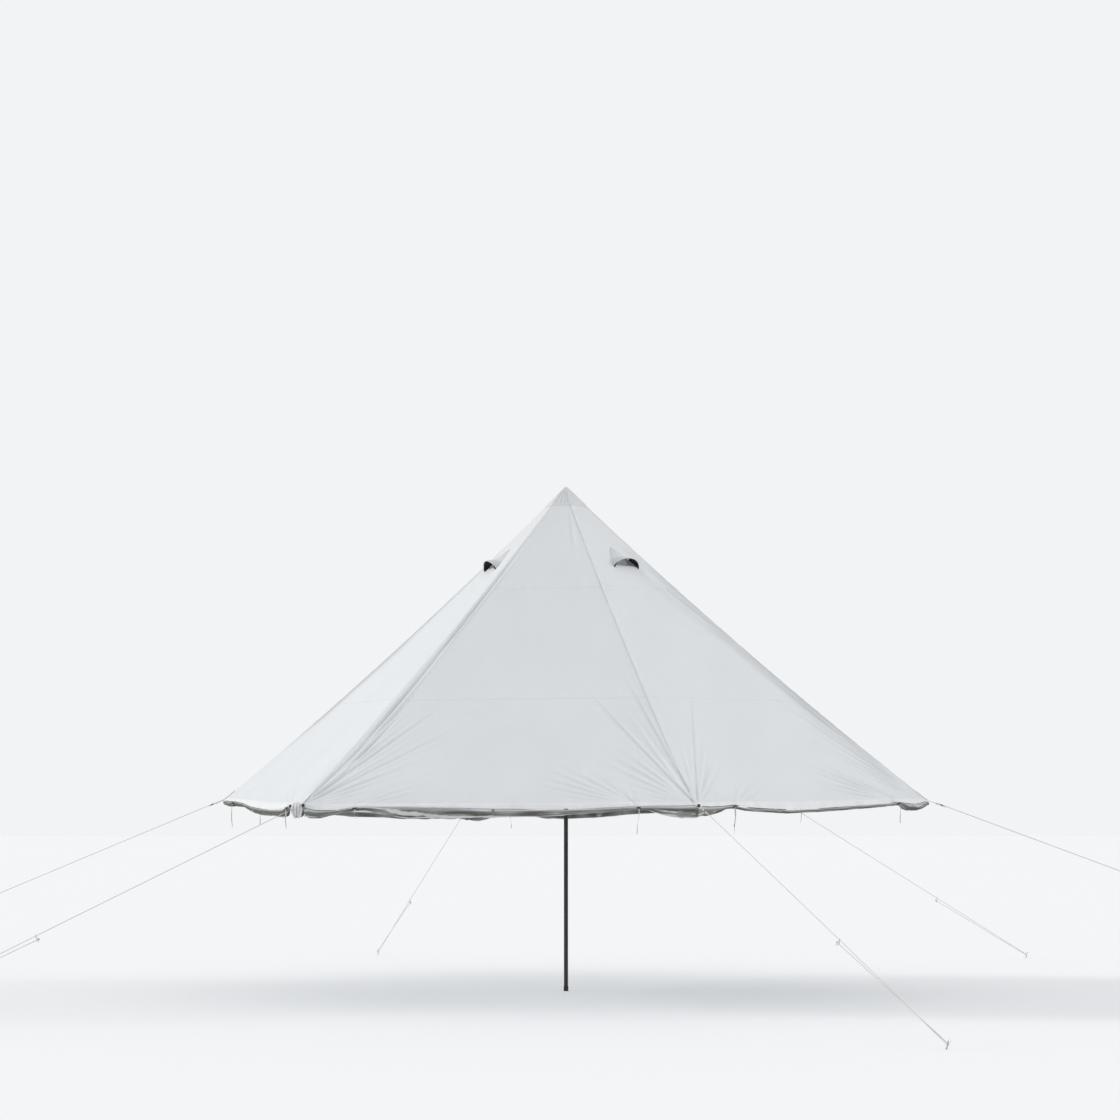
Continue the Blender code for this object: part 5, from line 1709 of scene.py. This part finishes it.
def rounded(points, radius, steps=5):
    """The points of a path with its corners rounded off."""
    points = [np.asarray(p, float) for p in points]
    path = [points[0]]
    for before, corner, after in zip(points, points[1:], points[2:]):
        cut_in = min(radius, 0.45 * np.linalg.norm(corner - before))
        cut_out = min(radius, 0.45 * np.linalg.norm(after - corner))
        start = corner + unit(before - corner) * cut_in
        end = corner + unit(after - corner) * cut_out
        for k in range(steps + 1):
            t = k / steps
            path.append(start * (1 - t) ** 2 + corner * 2 * t * (1 - t) + end * t**2)
    return np.array(path + [points[-1]])


def make_tab(corner):
    """The webbing tab of one corner."""
    along, sideways, upward = rope_frame(corner)
    bend = tab_bend(corner) + ridge_outward(corner) * 0.0016
    eye = tab_bend(corner) + along * TAB_LENGTH_FREE
    turn = RING_WIRE_RADIUS + 0.0011
    shares = 1 - np.linspace(TAB_LENGTH_ON_RIDGE, 0.012, 14) / RIDGE_LENGTH
    on_ridge = ridge_points(corner, shares) + ridge_outward(corner) * (CLEARANCE + TAB_THICKNESS / 2 + 0.0018)
    sweep = np.linspace(np.pi / 2, -np.pi / 2, 10)
    nose = [eye + along * (turn * math.cos(a)) + upward * (turn * math.sin(a)) for a in sweep]
    back = [eye - along * 0.020 - upward * 0.0015, tab_bend(corner) + along * 0.006 - upward * 0.0018]
    path = np.concatenate([on_ridge, rounded([bend, eye - along * 0.015 + upward * 0.002], 0.01), nose, back])
    path = smooth_path(path, 3)
    outward = np.cross(unit_rows(np.gradient(path, axis=0)), -sideways)
    return tape(f"corner_tab_{corner}_webbing", path, outward, TAB_WIDTH, 0.0021, white_webbing)


def smooth_path(path, times):
    """The path with each inner point moved to the average of itself and its neighbours."""
    path = np.array(path, float)
    for _ in range(times):
        path[1:-1] = (path[:-2] + 2 * path[1:-1] + path[2:]) / 4
    return path


tabs = {c: dress(make_tab(c), [f"corner_tab_{c}"]) for c in CORNERS}
print("tabs:", len(tabs))

# %% Rings, from a torus whose quarters are moved apart
galvanised = hard_material("galvanised_wire", (0.46, 0.47, 0.49), (0.62, 0.63, 0.64), 0.38,
                           metallic=1.0, size=0.012, bump_height=0.00015)

bpy.ops.object.select_all(action="DESELECT")
bpy.ops.mesh.primitive_torus_add(major_radius=RING_BEND_RADIUS, minor_radius=RING_WIRE_RADIUS,
                                 major_segments=48, minor_segments=16)
ring = take_primitive("ring_template")
reach_along = RING_LENGTH / 2 - RING_BEND_RADIUS
reach_aside = TAB_WIDTH / 2
for vertex in ring.data.vertices:
    vertex.co.x += math.copysign(reach_along, vertex.co.x + 1e-6)
    vertex.co.y += math.copysign(reach_aside, vertex.co.y + 1e-6)
finish_surface(ring, galvanised)
for corner in CORNERS:
    middle = tab_bend(corner) + rope_frame(corner)[0] * (TAB_LENGTH_FREE + RING_LENGTH / 2)
    dress(placed_copy(ring, f"corner_ring_{corner}", *rope_frame(corner), middle))
print("ring:", triangle_count(ring), "triangles")
bpy.data.objects.remove(ring)

# %% [markdown]
# ## Guy ropes
#
# Each rope is tied to its ring, runs to a slider, through the slider's upper hole, round the peg and back to
# the lower hole, and ends in a knot. It is one tube from end to end. A whipping of thin cord holds the short
# end at the ring.

# %% The tube helper and the rope material
RUNNER_SHARE = 0.60
HOLE_SPACING = 0.033
RUNNER_LENGTH, RUNNER_WIDTH, RUNNER_THICKNESS = 0.056, 0.014, 0.009
PEG_RADIUS = 0.005
ROPE_HIGH = RING_WIRE_RADIUS + CLEARANCE + ROPE_RADIUS


def tube(name, path, radius, sides, material):
    """A round tube with closed ends along a path. radius is one number or one for each point."""
    path = np.asarray(path, float)
    radius = np.broadcast_to(np.asarray(radius, float), (len(path),))
    ahead = unit_rows(np.gradient(path, axis=0))
    first = np.cross(ahead[0], [0.3, 0.5, 0.8])
    firsts = []
    for step in ahead:
        first = unit(first - step * (first @ step))
        firsts.append(first)
    firsts = np.array(firsts)
    seconds = np.cross(ahead, firsts)
    turn = np.linspace(0, 2 * np.pi, sides, endpoint=False)
    rings = firsts[:, None] * np.cos(turn)[None, :, None] - seconds[:, None] * np.sin(turn)[None, :, None]
    points = path[:, None] + rings * radius[:, None, None]
    around_uv = np.linspace(0, 2 * np.pi * float(radius.mean()), sides + 1)
    uv = grid_uv(len(path), sides, distances_along(path), around_uv, wrap=True)
    return add_piece(name, points, tube_faces(len(path), sides), material, uv)


def braid_material(name, colour, shade_and_stain, pitch):
    """Braided cord: a weave turned by 45 degrees, with painted shade between its strands and stains of the
    same dark colour.
    """
    material, tree, shader = new_material(name)
    turned = add_node(tree, "ShaderNodeMapping")
    fill_inputs(tree, turned, {"Vector": pattern_place(tree), "Rotation": (0, 0, math.radians(45))})
    weave = group_node(tree, weave_group, Position=turned.outputs[0], Pitch=pitch)
    strands = mix_colours(tree, math_node(tree, "POWER", weave, 0.6), shade_and_stain, colour)
    marks = math_node(tree, "MULTIPLY", weather_marks(tree, 0.25), 0.35)
    fill_inputs(tree, shader, {"Base Color": mix_colours(tree, marks, strands, shade_and_stain),
                               "Normal": bump_normal(tree, weave, 0.7, 0.0008), "Roughness": 0.85})
    return material


rope_braid = braid_material("pale_rope_braid", (0.70, 0.68, 0.62), (0.38, 0.37, 0.34), 0.0022)
whipping_cord = braid_material("whipping_cord", (0.30, 0.31, 0.32), (0.12, 0.12, 0.13), 0.0008)
print("rope materials:", rope_braid.name, whipping_cord.name)


# %% Make the ropes and their whippings
def line_point(corner, distance, high, aside=0.0):
    """A point at a distance along the rope's line from the ring's bar."""
    along, sideways, upward = rope_frame(corner)
    return ring_bar(corner) + along * distance + upward * high + sideways * aside


def half_turn(centre, first, second, radius, steps=12):
    turns = np.linspace(0, np.pi, steps + 1)
    return [centre + first * (radius * math.cos(a)) + second * (radius * math.sin(a)) for a in turns]


def rope_path(corner):
    """The rope's middle line, from its short end at the ring to the tail of its knot."""
    along, sideways, upward = rope_frame(corner)
    peg = peg_place(corner)
    runner = rope_length(corner) * RUNNER_SHARE
    low = ROPE_HIGH - HOLE_SPACING
    turn = PEG_RADIUS + CLEARANCE + ROPE_RADIUS
    beside = ROPE_HIGH - 2.05 * ROPE_RADIUS
    short = rounded([line_point(corner, 0.088, beside - 0.004), line_point(corner, 0.070, beside),
                     line_point(corner, 0.030, beside), line_point(corner, 0.006, -ROPE_HIGH)], 0.012)
    path = [*short] + half_turn(ring_bar(corner), -upward, -along, ROPE_HIGH)[1:]
    far = rounded([line_point(corner, 0.02, ROPE_HIGH), line_point(corner, runner - 0.02, ROPE_HIGH),
                   line_point(corner, runner + 0.02, ROPE_HIGH), peg + sideways * turn - along * 0.002], 0.02)
    path += [*far] + half_turn(peg, sideways, along, turn)[1:]
    near = rounded([peg - sideways * turn - along * 0.01, line_point(corner, runner + 0.02, low),
                    line_point(corner, runner - 0.012, low)], 0.02)
    path += [*near]
    steps = np.linspace(0, 1, 40)
    spin = 2 * np.pi * 2.4 * steps
    around_line = 2.0 * ROPE_RADIUS * smooth_step(steps / 0.15)
    ahead = runner - 0.024 - 0.004 * np.sin(np.pi * np.clip(steps / 0.2, 0, 1)) + 0.013 * steps
    path += [line_point(corner, a, low + r * math.cos(s), r * math.sin(s))
             for a, r, s in zip(ahead, around_line, spin)]
    path.append(line_point(corner, runner - 0.010, low - 0.012, 0.004))
    path.append(line_point(corner, runner - 0.012, low - 0.024, 0.008))
    return np.array(path)


def whipping_path(corner, start, turns, pitch):
    """A tight coil round the rope and its short end."""
    steps = np.linspace(0, 1, turns * 14)
    spin = 2 * np.pi * turns * steps
    tall, wide = 2.03 * ROPE_RADIUS + 0.0005, ROPE_RADIUS + 0.0005
    high = ROPE_HIGH - 1.02 * ROPE_RADIUS
    ahead = start + pitch * turns * steps
    return np.array([line_point(corner, place, high + tall * math.cos(a), wide * math.sin(a))
                     for place, a in zip(ahead, spin)])


ropes = {}
for corner in CORNERS:
    rope = tube(f"guy_rope_{corner}_braid", rope_path(corner), ROPE_RADIUS, 14, rope_braid)
    ropes[corner] = dress(rope, [f"guy_rope_{corner}"])
    binding = tube(f"whipping_{corner}", whipping_path(corner, 0.036, 14, 0.0019), 0.0009, 6, whipping_cord)
    dress(binding)
print("rope:", triangle_count(ropes["right"]), "triangles")

# %% [markdown]
# ## Sliders and pegs
#
# A slider is a small bar with two holes. It starts as a cube: the long edges are rounded off, two cylinders
# cut the holes, and a bevel breaks the sharp edges. A peg is a round bar that is extruded and then spun into
# a hook.

# %% Model one slider and copy it
slider_plastic = hard_material("pale_slider_plastic", (0.70, 0.70, 0.67), (0.60, 0.59, 0.55), 0.45, size=0.03)

bpy.ops.object.select_all(action="DESELECT")
bpy.ops.mesh.primitive_cube_add(size=1.0, scale=(RUNNER_THICKNESS, RUNNER_WIDTH, RUNNER_LENGTH))
slider = take_primitive("slider_template")
bpy.ops.object.transform_apply(location=False, rotation=False, scale=True)
bpy.ops.object.mode_set(mode="EDIT")
bpy.ops.mesh.select_mode(type="EDGE")
bpy.ops.mesh.select_all(action="DESELECT")
shape = bmesh.from_edit_mesh(slider.data)
for edge in shape.edges:
    run = edge.verts[0].co - edge.verts[1].co
    edge.select = abs(run.x) > 0.5 * RUNNER_THICKNESS and abs(run.y) + abs(run.z) < 1e-6
bmesh.update_edit_mesh(slider.data)
bpy.ops.mesh.bevel(offset=RUNNER_WIDTH / 2 * 0.98, segments=10)
bpy.ops.object.mode_set(mode="OBJECT")
for end in (-1, 1):
    bpy.ops.object.select_all(action="DESELECT")
    bpy.ops.mesh.primitive_cylinder_add(vertices=32, radius=ROPE_RADIUS + 0.0006, depth=0.05,
                                        location=(0, 0, end * HOLE_SPACING / 2),
                                        rotation=(0, math.radians(90), 0))
    drill = bpy.context.active_object
    apply_modifier(slider, "BOOLEAN", operation="DIFFERENCE", solver="EXACT", object=drill)
    bpy.data.objects.remove(drill)
apply_modifier(slider, "BEVEL", width=0.0009, segments=3, limit_method="ANGLE", angle_limit=math.radians(50))
finish_surface(slider, slider_plastic, 40)
for corner in CORNERS:
    middle = line_point(corner, rope_length(corner) * RUNNER_SHARE, ROPE_HIGH - HOLE_SPACING / 2)
    copy = placed_copy(slider, f"line_runner_{corner}_bar", *rope_frame(corner), middle)
    dress(copy, [f"line_runner_{corner}"])
print("slider:", triangle_count(slider), "triangles")
bpy.data.objects.remove(slider)

# %% Model one peg and copy it
PEG_RISE, PEG_BURIED = 0.022, 0.08
PEG_HOOK_RADIUS, PEG_HOOK_TURN = 0.014, -150

bpy.ops.object.select_all(action="DESELECT")
bpy.ops.mesh.primitive_circle_add(vertices=24, radius=PEG_RADIUS, fill_type="NGON",
                                  location=(0, 0, -PEG_BURIED))
peg = take_primitive("peg_template")
bpy.ops.object.transform_apply(location=True, rotation=False, scale=False)
bpy.ops.object.mode_set(mode="EDIT")
bpy.ops.mesh.select_mode(type="FACE")
bpy.ops.mesh.select_all(action="SELECT")
bpy.ops.mesh.extrude_region_move(TRANSFORM_OT_translate={"value": (0, 0, PEG_BURIED + PEG_RISE)})
bpy.ops.mesh.spin(steps=20, angle=math.radians(PEG_HOOK_TURN), center=(PEG_HOOK_RADIUS, 0, PEG_RISE),
                  axis=(0, 1, 0))
bpy.ops.object.mode_set(mode="OBJECT")
apply_modifier(peg, "BEVEL", width=0.0022, segments=4, limit_method="ANGLE", angle_limit=math.radians(60))
clean_mesh(peg, turn=True)
finish_surface(peg, galvanised, 45)
for corner in CORNERS:
    along, sideways, upward = rope_frame(corner)
    copy = placed_copy(peg, f"peg_{corner}_bar", along, np.cross(upward, along), upward, peg_place(corner))
    select_only(copy)
    bpy.ops.object.mode_set(mode="EDIT")
    bpy.ops.mesh.select_all(action="SELECT")
    bpy.ops.mesh.bisect(plane_co=(0, 0, 0), plane_no=(0, 0, 1), clear_inner=True, use_fill=True)
    bpy.ops.object.mode_set(mode="OBJECT")
    dress(copy, [f"peg_{corner}"])
print("peg:", triangle_count(peg), "triangles")
bpy.data.objects.remove(peg)

# %% [markdown]
# ## The pole
#
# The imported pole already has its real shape: three tubes that plug together. It keeps its meshes and gets a
# worn satin black. The foot is modelled here as a rubber cup with rounded edges.

# %% Pole paint, foot and tip
pole_paint = hard_material("worn_black_paint", (0.006, 0.006, 0.007), (0.013, 0.013, 0.013), 0.40,
                           size=0.08, bump_height=0.0001)
foot_rubber = hard_material("ribbed_black_rubber", (0.012, 0.012, 0.012), (0.028, 0.027, 0.025), 0.75,
                            size=0.03)
for node in ("pole_lower", "pole_middle", "pole_upper"):
    for material_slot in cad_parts[node].material_slots:
        material_slot.material = pole_paint
for material_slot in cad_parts["pole_tip"].material_slots:
    material_slot.material = foot_rubber

foot_low, foot_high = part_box("pole_foot")
FOOT_RADIUS = (foot_high.x - foot_low.x) / 2
FOOT_HEIGHT = foot_high.z - foot_low.z
FOOT_WALL, FOOT_FLOOR = 0.0025, 0.005
bpy.ops.object.select_all(action="DESELECT")
bpy.ops.mesh.primitive_cylinder_add(vertices=64, radius=FOOT_RADIUS, depth=FOOT_HEIGHT,
                                    location=(0, 0, foot_low.z + FOOT_HEIGHT / 2))
foot = take_primitive("pole_foot_rubber")
bpy.ops.object.transform_apply(location=True, rotation=False, scale=False)
bpy.ops.object.mode_set(mode="EDIT")
bpy.ops.mesh.select_mode(type="FACE")
bpy.ops.mesh.select_all(action="DESELECT")
shape = bmesh.from_edit_mesh(foot.data)
for face in shape.faces:
    face.select = face.normal.z > 0.5
bmesh.update_edit_mesh(foot.data)
bpy.ops.mesh.inset(thickness=FOOT_WALL)
bpy.ops.mesh.extrude_region_move(TRANSFORM_OT_translate={"value": (0, 0, FOOT_FLOOR - FOOT_HEIGHT)})
bpy.ops.object.mode_set(mode="OBJECT")
apply_modifier(foot, "BEVEL", width=0.0008, segments=3, limit_method="ANGLE", angle_limit=math.radians(60))
finish_surface(foot, foot_rubber, 40)
dress(foot, ["pole_foot"])
print("foot:", triangle_count(foot), "triangles")

# %% [markdown]
# ## The roof sheets in place
#
# Each roof sheet is fixed to the tent, and the imported roof panel that it stands for is hidden.

for side, sheet in roof_sheets.items():
    dress(sheet, [f"roof_{side}"])
